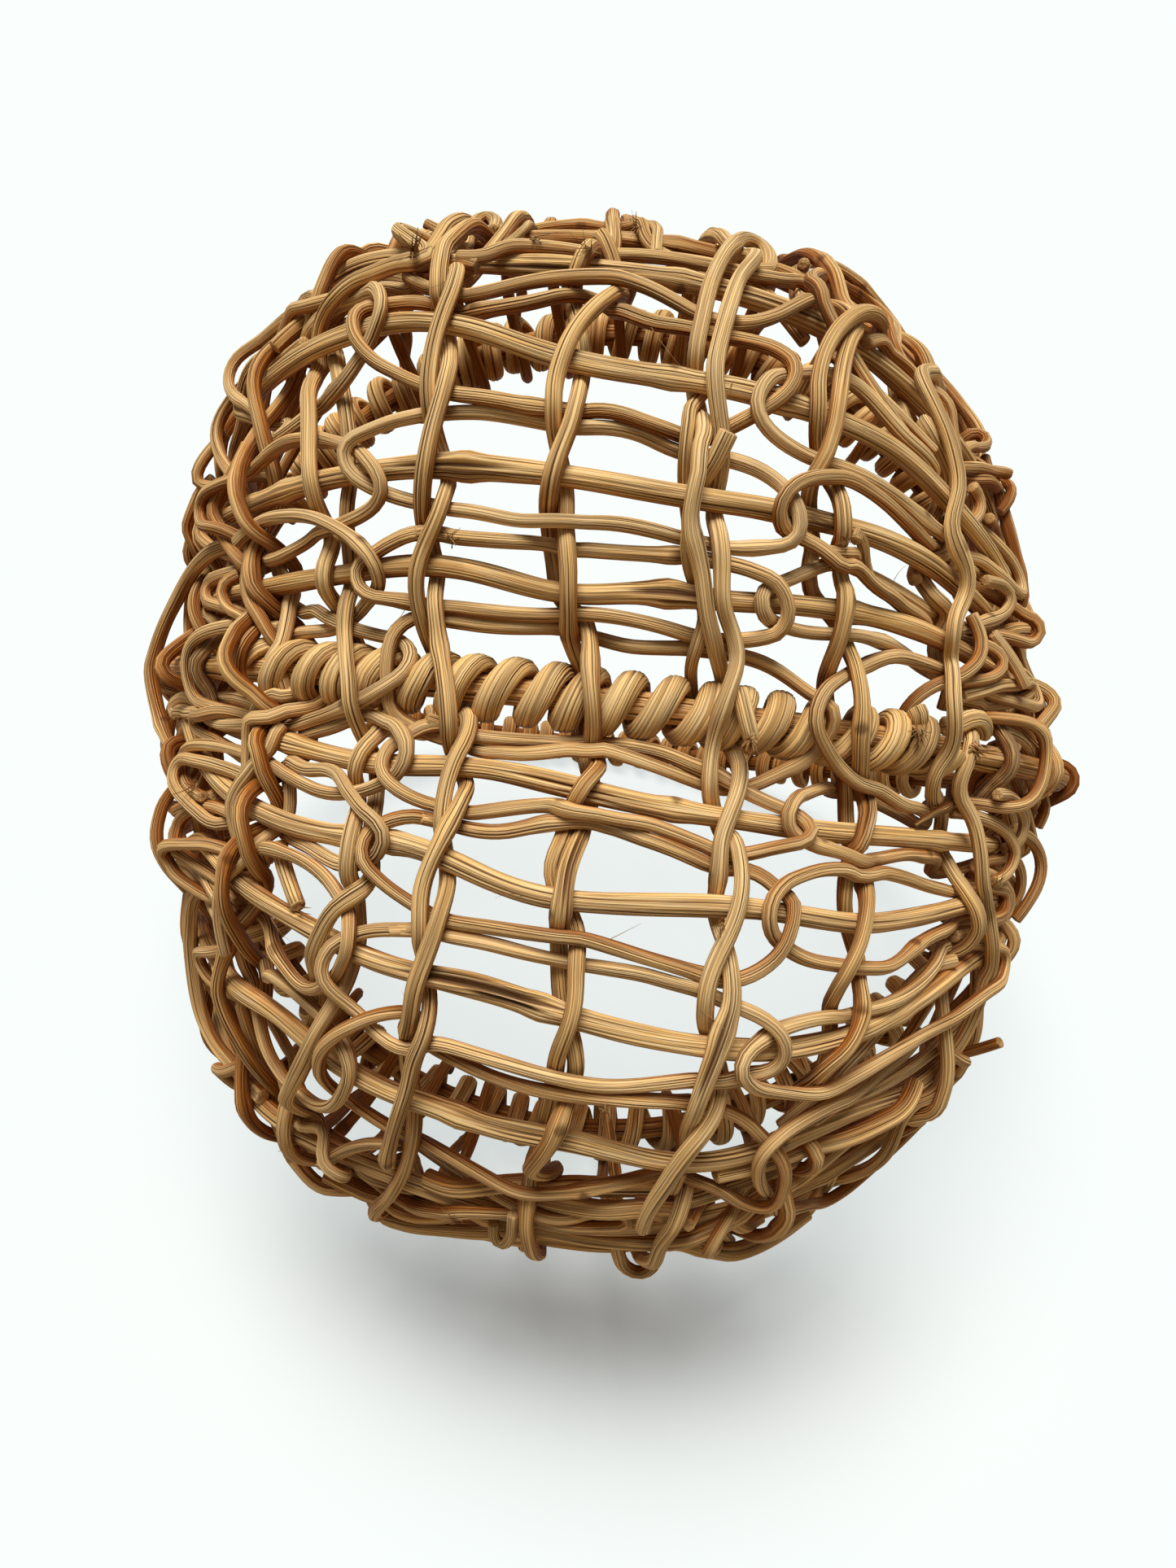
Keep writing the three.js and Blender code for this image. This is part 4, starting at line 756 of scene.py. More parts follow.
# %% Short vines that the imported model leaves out
EXTRA_VINES = {}
for name, text in strands_in("""
end_column_6_back: 2.1 866,452,-4 855,490,0 848,525,2 843,560,1 842,592,-6 844,622,-2 842,650,2 837,668,2
840,690,0 848,712,-3 857,735,-6 864,752,-4 857,778,2 848,800,0 846,822,-6 848,845,-10 852,870,-12
853,895,-10
end_bottom_fold: 2.3 835,1440,-3 826,1478,5 812,1510,7 801,1541,8 781,1561,8 764,1552,8 757,1533,6
752,1512,0
end_small_fold: 1.9 648,1480,2 637,1502,5 622,1515,6 612,1508,6 608,1488,2
end_upper_stub: 2.6 890,531,6 884,556,4 878,582,1 873,608,-4
end_right_stub: 2.1 1172,576,-4 1196,580,-1 1216,583,2 1237,584,4
torn_wrap_1: 3.0 1160,893,5 1176,897,11 1192,901,14 1206,902,15
torn_wrap_2: 3.0 1110,880,7 1122,893,12 1132,906,14 1139,921,14
torn_wrap_3: 2.4 903,846,11 909,862,14 914,880,16 919,894,16 923,906,15
end_low_stub: 2.0 1170,1292,-3 1200,1287,2 1228,1281,5
end_dark_tip: 1.8 1170,968,-5 1152,989,-1 1138,1001,3 1123,1018,6
end_left_cut: 2.4 326,1030,-2 340,1062,0 356,1095,2 366,1114,3
end_curl: 1.7 1070,712,0 1058,694,3 1056,676,5 1053,662,6 1044,655,7 1038,661,7 1044,669,7
end_curl_back: 1.8 1055,690,3 1048,678,4 1035,672,4 1022,675,2 1008,690,0
rim_bundle_1: 2.3 535,290,1 600,285,1 650,280,1 700,273,1 750,277,2 780,290,5 800,303,6 830,317,5 860,331,3
890,338,0
rim_bundle_2: 2.0 806,312,1 800,298,3 790,284,4 778,273,4
rim_bundle_3: 1.5 600,312,4 625,300,5 645,288,6 656,282,6
end_knob: 5.0 540,296,-3 529,299,3 516,303,9
end_knob_fold: 2.2 524,277,3 536,282,4 550,292,3 566,303,1
end_column_4_fold: 2.3 558,318,2 566,296,5 577,277,6 591,270,6 604,277,5 611,292,2
end_torn_left: 2.6 492,308,2 470,303,4 448,308,5 434,322,5 418,345,4 400,368,3 380,394,1 360,420,-2
342,450,-6
rim_bundle_4: 2.2 880,332,2 920,345,4 945,352,5 962,366,5 985,385,3 1005,402,0
side_outer_1: 2.1 985,346,1 986,333,3 994,323,4 1010,323,4 1035,335,4 1060,357,4 1082,384,4 1098,408,4
1118,433,4 1142,458,4 1166,484,4 1185,511,3 1199,533,2 1206,556,0
side_outer_2: 2.3 1045,425,3 1060,426,4 1076,438,4 1100,450,4 1125,475,4 1146,505,4 1162,540,4 1176,570,2
side_outer_3: 2.0 984,368,2 984,358,4 994,353,4 1012,355,4 1040,363,3 1068,380,3 1088,408,3 1100,440,3
1110,478,3 1124,518,3 1142,548,2 1166,578,0
side_outer_4: 1.9 1002,384,2 1020,402,3 1040,430,3 1060,455,4 1082,482,4 1102,508,4 1122,535,3 1142,562,2
side_ring: 2.1 1190,556,-1 1180,549,3 1187,537,5 1202,533,6 1214,540,5 1213,550,4 1200,556,4 1184,556,2
side_right_1: 2.2 1203,552,1 1197,575,4 1188,598,5 1179,620,4 1170,640,0
side_right_2: 2.2 1190,602,0 1204,616,3 1206,636,5 1192,652,6 1170,668,6 1150,686,3 1138,699,-3 1130,713,-6
side_right_3: 2.0 1206,646,2 1222,658,4 1231,680,5 1225,698,5 1207,706,5 1185,708,3 1170,706,0
side_right_4: 2.1 1206,711,1 1224,721,4 1230,740,5 1222,758,5 1204,769,5 1186,778,3 1172,784,0
side_right_5: 2.2 1206,560,1 1213,588,2 1222,620,3 1231,652,3 1238,690,3 1241,725,3 1234,752,2 1228,780,1
side_right_6: 1.9 1200,570,2 1222,588,4 1237,605,4 1237,622,3 1228,634,1
side_right_7: 2.2 1180,765,0 1192,785,4 1194,805,6 1180,822,6 1155,830,5 1130,845,4 1113,862,1 1101,884,-7
1093,908,-12
side_right_8: 2.0 1196,802,2 1213,808,4 1222,823,5 1214,838,5 1195,842,4 1175,840,1
side_right_9: 2.0 1211,775,3 1221,800,4 1228,825,4 1231,850,2
side_right_10: 2.3 1246,785,0 1254,815,2 1268,845,3 1279,880,4 1284,915,4 1284,950,4 1280,985,3 1270,1015,1
side_right_11: 2.2 1180,846,4 1215,842,5 1245,841,5 1257,850,5 1250,860,5 1215,860,5 1180,858,4
side_right_12: 2.2 1215,886,1 1242,896,3 1262,914,4 1273,942,4 1277,972,3 1272,1005,1
side_right_13: 1.9 1250,918,2 1254,955,3 1263,995,3 1270,1035,2
side_right_14: 2.6 1217,868,4 1222,895,6 1217,930,5 1209,962,3 1202,1000,1
side_right_15: 2.1 1190,998,1 1215,1009,4 1230,1028,5 1232,1050,5 1222,1072,4 1205,1085,0
side_right_16: 2.0 1203,960,2 1226,971,4 1243,990,5 1247,1012,5 1238,1032,4 1222,1042,1
side_right_17: 2.2 1246,1018,0 1264,1034,3 1272,1060,4 1265,1086,4 1249,1108,3 1230,1130,0
side_right_18: 2.1 1196,1064,2 1220,1078,5 1233,1100,6 1231,1122,6 1210,1138,5 1180,1160,2
side_right_19: 1.9 1236,1044,1 1250,1065,3 1252,1090,3 1242,1114,2 1225,1140,0
side_right_stub: 2.7 1225,781,1 1240,770,3 1259,763,5
side_left_1: 2.2 276,532,-6 260,549,0 246,570,3 239,589,4 246,598,4 262,599,3 282,595,1
side_left_2: 2.2 300,617,0 276,624,3 261,637,5 253,653,6 257,669,6 271,680,5 290,683,4 308,683,1
side_left_3: 2.1 303,694,1 291,711,5 287,730,6 295,746,6 310,754,5 328,758,3 345,762,0
side_left_4: 2.5 305,548,2 297,580,5 287,604,6 282,625,6 285,648,6 293,668,6 305,690,4 316,706,0
side_left_5: 2.3 302,618,-2 309,640,3 313,662,5 315,686,6 315,710,6 318,736,6 328,760,6 338,782,4 348,800,0
side_left_6: 2.1 340,778,0 333,788,6 321,806,10 312,823,12 312,838,12 322,850,10 336,863,5
side_left_7: 2.5 318,672,-6 330,696,-1 340,715,2 346,735,3 350,757,6 352,785,9 351,812,12 350,842,12
349,866,6 345,890,0
side_left_8: 2.1 262,588,-6 250,604,0 245,640,2 243,670,2 247,692,1
side_left_9: 2.1 266,640,-6 246,658,0 234,679,3 238,693,3 250,703,2
side_left_10: 2.2 258,686,1 248,711,4 249,735,5 259,753,5 273,768,4 291,778,3 315,786,0
side_left_11: 2.6 300,664,-7 270,680,-3 246,702,1 229,735,2 216,770,3 210,805,3 208,840,2 211,880,1
219,915,0 230,945,-3
side_left_12: 2.6 240,715,1 233,748,4 229,780,5 233,810,5 245,832,5 260,850,4
side_left_13: 2.5 288,745,2 277,782,5 268,815,7 263,850,5 262,880,0
side_left_14: 2.4 330,866,3 290,860,5 260,857,5 232,862,5 218,874,5 222,884,5 240,877,5 262,884,5 288,893,4
315,898,1
side_left_15: 2.4 228,815,1 215,850,3 209,890,4 212,930,4 222,968,2
side_left_16: 2.2 358,890,-4 349,912,0 336,934,4 316,957,6 303,976,6 296,1000,6 294,1025,6 298,1048,3
306,1066,0
side_left_17: 2.2 352,960,-8 344,986,-6 330,1012,-1 310,1038,4 295,1060,6 284,1085,6 280,1110,6 281,1140,3
286,1165,0
side_left_18: 2.1 418,828,-14 404,845,-9 386,859,1 362,866,6 337,880,7 323,900,6 316,925,5 308,950,4
305,972,0
side_left_19: 2.1 402,826,-14 388,842,-8 370,854,2 347,861,7 331,877,8 322,896,6 317,915,3
side_left_20: 2.1 314,930,1 286,920,3 262,918,3 244,925,3 236,942,3 236,960,3 246,976,3 262,984,1
side_left_21: 2.2 300,990,-1 276,982,2 256,983,2 240,992,2 231,1010,2 232,1031,2 242,1051,2 258,1071,2
273,1090,1 286,1108,-1
side_left_22: 2.7 213,992,5 228,989,4 246,984,2 262,978,0
side_left_23: 2.3 270,1130,-1 252,1105,0 237,1078,0 223,1056,0 213,1045,1 222,1043,2 241,1060,2 260,1081,2
279,1103,0
side_left_24: 2.0 400,372,1 362,400,3 327,428,4 300,445,5 291,468,5 300,495,4 316,512,1
side_left_25: 2.2 372,430,0 340,455,2 315,480,4 286,505,5 268,532,5 272,562,4 288,588,1
rim_bundle_5: 3.1 395,1440,2 430,1455,3 480,1478,4 520,1490,4 580,1485,4 640,1480,4 700,1490,3 760,1502,2
rim_bundle_6: 3.1 480,1470,2 520,1480,3 570,1482,5 620,1478,5 680,1480,4 740,1484,3 790,1476,2 840,1470,0
rim_bundle_7: 3.1 540,1500,0 570,1508,2 620,1518,4 680,1525,4 750,1530,3 830,1525,2 900,1530,3 950,1515,2
990,1490,0
rim_bundle_8: 2.9 650,1500,3 720,1510,4 790,1510,4 850,1500,4 900,1482,4 950,1460,3 1000,1430,2 1040,1400,0
rim_bundle_9: 2.2 835,1478,5 860,1492,6 882,1510,6 897,1524,5
rim_bundle_10: 2.8 780,1490,2 840,1478,4 900,1462,4 960,1435,3 1010,1400,2 1060,1365,0
rim_bundle_11: 3.1 455,1468,3 500,1492,5 560,1506,6 620,1512,6 680,1515,5 740,1522,4 800,1530,2
rim_bundle_12: 3.1 526,1448,-8 560,1462,1 620,1460,5 690,1468,6 760,1478,6 820,1492,4 880,1500,3 930,1498,1
rim_bundle_13: 3.1 880,1440,2 930,1430,4 980,1412,5 1030,1390,5 1075,1362,4 1112,1335,2
rim_bundle_14: 3.1 420,1440,3 450,1462,5 500,1472,6 550,1478,5 610,1496,4 660,1508,2
side_low_left_1: 2.6 246,1085,-5 241,1115,-1 241,1160,1 246,1222,3 254,1255,3 271,1291,3 296,1322,2
330,1352,0
side_low_left_2: 2.6 281,1112,-6 282,1138,-3 286,1175,1 293,1224,3 301,1272,4 312,1313,5 323,1352,5
340,1390,5 360,1418,4 384,1441,3 412,1452,2 440,1458,0
side_low_right_1: 2.3 1170,1180,-3 1126,1225,-3 1085,1268,-3 1040,1310,-3 1000,1350,-3 960,1385,-3
side_low_right_2: 2.4 1180,1262,2 1150,1290,3 1112,1320,3 1068,1348,3 1020,1372,2 985,1392,0
""").items():
    thick, course = text.split(maxsplit=1)
    EXTRA_VINES[name] = (float(thick), course)
print(len(EXTRA_VINES), "short vines")

# %% [markdown]
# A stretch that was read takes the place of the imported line's part that it runs beside. The two are
# matched by where they end and by their length, and a little is left out on both sides, so that the curve
# can lead over. Near the edge of the bowl a slip of one pixel would be a large step in depth, so the
# short vines' depth is evened out along them.

# %% Put the courses into the strands
SPLICE, SHORT_TAIL = 14, 36
ENDS_MEET = 36
KEEP_EVERY = 9
LENGTH_WEIGHT = 0.5
DEPTH_EASINGS = 3


def read_course(text):
    """Across, down and lift of each point of a stretch."""
    return np.array([[float(number) for number in point.split(",")] for point in text.split()])


def evened_places(text):
    """The places of a stretch near the bowl's edge. The bowl's distance from the camera is evened out
    along the stretch. Each place is then as far from the camera as it is with its lift, and stays on its
    line of sight."""
    seen = read_course(text)
    flat = seen * [1, 1, 0]
    away = np.linalg.norm(on_bowl(flat) - CAMERA_AT, axis=1)
    for _ in range(DEPTH_EASINGS):
        ease(away)
    places = CAMERA_AT + sight(seen[:, :2]) * away[:, None]
    lifted = places + unit(places - BOWL_MIDDLE) * seen[:, 2:3]
    return CAMERA_AT + sight(seen[:, :2]) * np.linalg.norm(lifted - CAMERA_AT, axis=1)[:, None]


def best_part(window, new):
    """The first and last place in a window of the line, one millimetre a step, that suit a new stretch
    best: the gaps at both its ends, plus a weight times how much the lengths differ, are smallest."""
    from_first = np.linalg.norm(window - new[0], axis=1)
    from_last = np.linalg.norm(window - new[-1], axis=1)
    long = np.linalg.norm(np.diff(new, axis=0), axis=1).sum()
    span = np.abs(np.arange(len(window))[:, None] - np.arange(len(window))[None, :])
    cost = from_first[:, None] + from_last[None, :] + LENGTH_WEIGHT * np.abs(span - long)
    return np.unravel_index(np.argmin(cost), cost.shape)


def spliced(line, stretches):
    """The line with each stretch put in place of the part that it runs beside. A stretch whose two ends
    meet is the whole of a closed link, and its ends overlap."""
    only = read_course(stretches[0])
    if np.linalg.norm(only[0, :2] - only[-1, :2]) < ENDS_MEET:
        return on_bowl(np.concatenate([only, only[:2]]))
    fine = curve_through(line, 1.0)
    share = len(fine) // len(stretches)
    parts = []
    start = 0
    for k, text in enumerate(stretches):
        new = on_bowl(read_course(text))
        low = k * share
        best = best_part(fine[low:low + share], new)
        if best[0] > best[1]:
            new = new[::-1]
        first, last = low + min(best), low + max(best)
        before = SPLICE if first > SHORT_TAIL else SPLICE // 2
        after = SPLICE if len(fine) - last > SHORT_TAIL else SPLICE // 2
        parts += [fine[start:max(start, first - before)][::KEEP_EVERY], new]
        start = last + after
    parts.append(fine[start:][::KEEP_EVERY])
    return np.concatenate(parts)


courses = {name: spliced(line, SEEN_COURSES[name]) if name in SEEN_COURSES else line
           for name, line in lines.items()}
for name, (_, course) in EXTRA_VINES.items():
    courses[name] = evened_places(course)
shifts = {name: np.linalg.norm(courses[name].mean(0) - lines[name].mean(0)) for name in SEEN_COURSES}
farthest = max(shifts, key=shifts.get)
print(len(courses), "courses;", farthest, "has moved most, by", round(float(shifts[farthest]), 1), "mm")

# %% [markdown]
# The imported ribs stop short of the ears. A maker splices a rib that is too short: a root is laid beside
# its end and runs on down the bowl, to be pushed in among the lashing's turns. Short weavers go over and
# under the roots, from rim to rim round the ear, and hook round the rim at both ends. The camera hardly
# sees them, but the sides do.

# %% Roots from the ribs to the ears
ROOT_RADIUS = 2.4
LAP_FROM, LAP_TO, LAP_STEP = 30, 4, 8
LAP_LIFT, TURN_LIFT, EAR_LIFT = -5.2, -4.5, 3.5
ROOT_SHARES = np.array([0.12, 0.27, 0.42, 0.57, 0.72, 0.86])
LEVEL_SHARE = 0.4


def on_surface(ways, lift):
    """The points of the bowl in these directions from its middle, each moved outwards by its lift."""
    ways = unit(ways)
    return BOWL_MIDDLE + ways * (cubes_of_distance(ways) @ bowl_weights + lift)[:, None]


def root_course(rib, ear, ear_lift):
    """A root's points. Its direction from the bowl's middle follows the rib's last stretch, inside it,
    and then turns evenly from the rib's end to the ear, where it lies outside or inside the bowl."""
    if np.linalg.norm(rib[0] - ear) > np.linalg.norm(rib[-1] - ear):
        rib = rib[::-1]
    fine = even_steps(rib, 1.0)
    lap = fine[LAP_FROM:LAP_TO:-LAP_STEP] - BOWL_MIDDLE
    end_way = (fine[0] - BOWL_MIDDLE) / np.linalg.norm(fine[0] - BOWL_MIDDLE)
    ear_way = (ear - BOWL_MIDDLE) / np.linalg.norm(ear - BOWL_MIDDLE)
    ways = np.concatenate([unit(lap), end_way + (ear_way - end_way) * ROOT_SHARES[:, None]])
    turning = np.interp(ROOT_SHARES, [0.0, LEVEL_SHARE, ROOT_SHARES[-1]], [TURN_LIFT, 0.0, ear_lift])
    return on_surface(ways, np.concatenate([np.full(len(lap), LAP_LIFT), turning]))


EARS = {"left": np.array([-RIM_RADIUS, 0.0, 0.0]), "right": np.array([RIM_RADIUS, 0.0, 0.0])}
ROOTS = {}
for side, ear in EARS.items():
    for half, numbers in (("upper", range(6, 0, -1)), ("lower", range(1, 7))):
        for number in numbers:
            rib = courses[f"rib_{half}_{number}"]
            ear_lift = EAR_LIFT if number % 2 else -EAR_LIFT
            ROOTS[f"root_{half}_{number}_{side}"] = root_course(rib, ear, ear_lift)
print(len(ROOTS), "roots")

# %% [markdown]
# A weaver's places come from what it crosses. The rim, six roots, the spine, six roots and the rim again
# stand in a row round the ear, and the weaver meets each of them at the same distance from the ear, over
# and under by turns. The next weaver starts the other way, as in any plain weave.

# %% Weavers across the roots
WEAVER_RADIUS = 1.9
WEAVERS_AT = (44.0, 57.0, 70.0, 84.0)
CROSSING_GAP = 0.2
HOOK_BACK, HOOK_DOWN = 0.9, 0.5
SPINE_PLACE = 7
quarter = np.radians(np.linspace(2, 60, 60))


def at_distance(line, ear, distance):
    """The point of a line that is this far from the ear."""
    fine = even_steps(line, 1.0)
    return fine[np.argmin(np.abs(np.linalg.norm(fine - ear, axis=1) - distance))]


def row_round(side, sign):
    """The lines that stand round an ear, from the rim's upper half to its lower one."""
    roots = [ROOTS[name] for name in ROOTS if name.endswith(side)]
    upper, lower = [on_rim(sign * (np.pi / 2 + way * quarter), RIM_RADIUS) for way in (-1, 1)]
    spine = on_handle(sign * (np.pi / 2 - quarter), HANDLE_RADIUS)
    return [upper, *roots[:6], spine, *roots[6:], lower]


def weaver_course(row, ear, distance, first):
    """A weaver's points: where it crosses each line of the row, lifted off it by both radii, outwards and
    inwards by turns, with a hook round the rim at each end."""
    crossed = np.array([at_distance(line, ear, distance) for line in row])
    out = unit(crossed - BOWL_MIDDLE)
    hoops = np.isin(np.arange(len(row)), (0, SPINE_PLACE, len(row) - 1))
    lift = np.where(hoops, HOOP_RADIUS, ROOT_RADIUS) + WEAVER_RADIUS + CROSSING_GAP
    lift *= np.where((np.arange(len(row)) + first) % 2, 1.0, -1.0)
    over = crossed + out * lift[:, None]
    down = np.array([0, 0, -(HOOP_RADIUS + WEAVER_RADIUS + CROSSING_GAP)])
    hooks = [[crossed[end] - out[end] * lift[end] * HOOK_BACK - down * HOOK_DOWN, crossed[end] + down]
             for end in (0, -1)]
    return np.concatenate([hooks[0], over, hooks[1][::-1]])


WEAVERS = {}
for side, sign in (("left", -1), ("right", 1)):
    row = row_round(side, sign)
    for k, distance in enumerate(WEAVERS_AT):
        WEAVERS[f"weaver_{side}_{k + 1}"] = weaver_course(row, EARS[side], distance, k)
courses.update(ROOTS)
courses.update(WEAVERS)
print(len(WEAVERS), "weavers round the ears")

# %% [markdown]
# Strands that cross can't share the same space. Each is a chain of short rods as thick as the vine.
# Wherever two rods are closer than their thickness they are pushed apart, the ribs and hoops giving no
# way, and the shift is spread along the strand, as a stiff vine spreads it. After some rounds every
# strand just touches its neighbours.

# %% Where rods come near each other
WALK = 4.0
PARALLEL = 1e-9


def nearest_places(a0, a1, b0, b1):
    """Where two rods come closest, s and t along them, and the offset from the second to the first."""
    u, v, w = a1 - a0, b1 - b0, a0 - b0
    uu, vv, uv = (u * u).sum(1), (v * v).sum(1), (u * v).sum(1)
    uw, vw = (u * w).sum(1), (v * w).sum(1)
    across = uu * vv - uv * uv
    inner = np.clip((uv * vw - vv * uw) / np.maximum(across, PARALLEL), 0, 1)
    s = np.where(across > PARALLEL, inner, 0.5)
    t = np.clip((uv * s + vw) / vv, 0, 1)
    s = np.clip((uv * t - uw) / uu, 0, 1)
    return s, t, w + u * s[:, None] - v * t[:, None]


def rods_near(places, rods, free, reach):
    """Pairs of rods whose middles are within reach. A rod is the number of its first point, and the first
    rod of each pair is a loose one."""
    middles = (places[rods] + places[rods + 1]) / 2
    tree = kdtree.KDTree(len(rods))
    for k, middle in enumerate(middles):
        tree.insert(middle, k)
    tree.balance()
    found = [(k, j) for k in np.flatnonzero(free[rods]) for _, j, _ in tree.find_range(middles[k], reach)]
    a, b = np.array(found).T
    return rods[a], rods[b]


# %% [markdown]
# The rounds stop being stiff near the end, so that the last contacts open. A strand also keeps clear of
# itself, but not of its next rods, and the ends of a closed link may meet.

# %% Let the strands settle against each other
ROUNDS, CLEARANCE = 140, 0.04
LOOK_AGAIN, EXTRA_REACH = 20, 3
STIFF_SHARE, STIFFNESS = 0.8, 0.35
SELF_REACH = 2.6
MEETING = 7


def settle(loose, held):
    """Pushes the loose strands off each other and off the held ones. Both are {name: (line, radius)}."""
    strands = {**loose, **held}
    sizes = [len(line) for line, _ in strands.values()]
    places = np.concatenate([line for line, _ in strands.values()])
    owner = np.repeat(np.arange(len(sizes)), sizes)
    thick = np.repeat([radius for _, radius in strands.values()], sizes)
    free = owner < len(loose)
    rods = np.flatnonzero(owner[:-1] == owner[1:])
    target = places.copy()
    number = np.arange(len(owner))
    first = np.cumsum([0] + sizes[:-1])[owner]
    last = first + np.array(sizes)[owner] - 1
    from_end = np.minimum(number - first, last - number)
    inner = np.flatnonzero(free & (from_end > 0))
    for round_number in range(ROUNDS):
        if round_number % LOOK_AGAIN == 0:
            a, b = rods_near(places, rods, free, WALK + 2 * max(thick) + EXTRA_REACH)
            apart = np.abs(a - b) * WALK > SELF_REACH * (thick[a] + thick[b])
            apart &= from_end[a] + from_end[b] > MEETING
            wanted = ((owner[a] != owner[b]) | apart) & ((a < b) | ~free[b])
            a, b = a[wanted], b[wanted]
        s, t, offset = nearest_places(places[a], places[a + 1], places[b], places[b + 1])
        distance = np.linalg.norm(offset, axis=1)
        short = thick[a] + thick[b] + CLEARANCE - distance
        hit = (short > 0) & (distance > 1e-6)
        if round_number == ROUNDS - 1:
            print(f"deepest contact left {short[hit].max() if hit.any() else 0:.2f} mm")
            break
        push = offset[hit] * (short[hit] / distance[hit])[:, None]
        push *= np.where(free[b[hit]], 0.5, 1.0)[:, None]
        move = np.zeros_like(places)
        times = np.zeros(len(places))
        for index, share, sign in ((a, 1 - s, 1), (a + 1, s, 1), (b, 1 - t, -1), (b + 1, t, -1)):
            index, share = index[hit], share[hit]
            for k in range(3):
                move[:, k] += np.bincount(index, sign * share * push[:, k], len(places))
            times += np.bincount(index, share, len(places))
        places += np.where(free, 1.0, 0.0)[:, None] * move / np.maximum(times, 1)[:, None]
        if round_number < ROUNDS * STIFF_SHARE:
            drift = places - target
            drift[inner] += STIFFNESS * ((drift[inner - 1] + drift[inner + 1]) / 2 - drift[inner])
            places[free] = (target + drift)[free]
    ends = np.cumsum(sizes)
    return {name: places[end - size:end] for name, size, end in zip(strands, sizes, ends) if name in loose}


# %% [markdown]
# Everything takes part in this: the ribs and lashings are held, as are the hoops and their wrappings, and
# all the rest is loose. The ribs are evened out first, since their packed lines still have small kinks.

# %% Settle the strands
SHOWN_RADIUS = {"rib": 3.15, "column": 2.5, "link": 2.15, "ear": 2.3}
RIB_EASINGS = 8

RADIUS_OF = {name: SHOWN_RADIUS[name.split("_")[0]] for name in lines}
RADIUS_OF.update({name: thick for name, (thick, _) in EXTRA_VINES.items()})
RADIUS_OF.update({name: ROOT_RADIUS for name in ROOTS})
RADIUS_OF.update({name: WEAVER_RADIUS for name in WEAVERS})
loose, held, fixed = {}, {}, []
for name, course in courses.items():
    line = curve_through(course, WALK)
    for _ in range(RIB_EASINGS if name.startswith("rib") else 1):
        ease(line)
    if name.startswith(("rib", "ear")):
        held[name] = (line, RADIUS_OF[name])
        fixed.append(name)
    else:
        loose[name] = (line, RADIUS_OF[name])
held.update({name: (even_steps(line, WALK), HOOP_RADIUS) for name, line in hoop_lines.items()})
held.update({name: (line, WRAP_HALF_DEPTH) for name, line in wrap_lines.items()})
settled = settle(loose, held)
settled.update({name: held[name][0] for name in fixed})
print(len(settled), "strands settled")

# %% [markdown]
# A strand is a section carried along its centreline. A peeled vine is furrowed from end to end, so every
# third corner of the section is pressed in, and each furrow comes and goes on its own. The radius
# wanders, and swells at the knots. Soft flats wander round it, so that no section is a plain circle.

# %% The section of a vine
FURROWS = 18
SIDES = 3 * FURROWS
STEP = 2.85
ANGLE_WAVES = ((2, 0.13), (4, 0.08), (7, 0.035))
FURROW_DEPTH, FURROW_SPREAD, FURROW_WANDER, FURROW_LEAST = 0.052, 0.055, 0.05, 0.003
RADIUS_WANDER = 0.06
FURROW_WAVE, RADIUS_WAVE, FLAT_TURN_WAVE, FLAT_HEIGHT_WAVE = 90, 70, 160, 50
FLAT_HEIGHT, FLAT_HEIGHT_WANDER = 0.75, 0.35
POINT_SIZE = 0.3
KNOT_SWELL, KNOT_LENGTH = 0.22, 4.2
FLATS = ((2, 0.05), (3, 0.035), (5, 0.03))


def carried_frame(line):
    """Directions ahead, aside and up at each point. Aside turns no more than the line makes it turn."""
    ahead = unit(np.gradient(line, axis=0))
    aside = np.empty_like(ahead)
    first = np.cross(ahead[0], np.eye(3)[np.argmin(np.abs(ahead[0]))])
    aside[0] = first / np.linalg.norm(first)
    for i in range(1, len(line)):
        flat = aside[i - 1] - ahead[i] * (aside[i - 1] @ ahead[i])
        aside[i] = flat / np.linalg.norm(flat)
    return ahead, aside, np.cross(ahead, aside)


def wander(along, wavelength, dice, count=1):
    """Smooth random values of about -1 to 1 along a strand, each made of three unlike waves."""
    phases = dice.uniform(0, 2 * np.pi, (count, 3))
    lengths = wavelength * np.array([1.0, 0.61, 0.37])
    weights = np.array([0.6, 0.3, 0.2])
    values = (weights * np.sin(2 * np.pi * along[:, None, None] / lengths + phases)).sum(2)
    return values if count > 1 else values[:, 0]


def uneven_angles(dice):
    """The angle of each corner of the section: even steps, crowded and spread by slow waves round it."""
    even = 2 * np.pi * np.arange(SIDES) / SIDES
    angles = even.copy()
    for (waves, depth), phase in zip(ANGLE_WAVES, dice.uniform(0, 2 * np.pi, 3)):
        angles += depth * np.sin(waves * even + phase)
    return angles


def furrow_depths(along, dice):
    """How deep each ring is furrowed at each corner, as a share of the radius. Only every third one is."""
    depths = np.zeros((len(along), SIDES))
    own = dice.uniform(-FURROW_SPREAD, FURROW_SPREAD, FURROWS)
    wandering = FURROW_WANDER * wander(along, FURROW_WAVE, dice, FURROWS)
    depths[:, ::3] = np.clip(FURROW_DEPTH + own + wandering, FURROW_LEAST, None)
    return depths


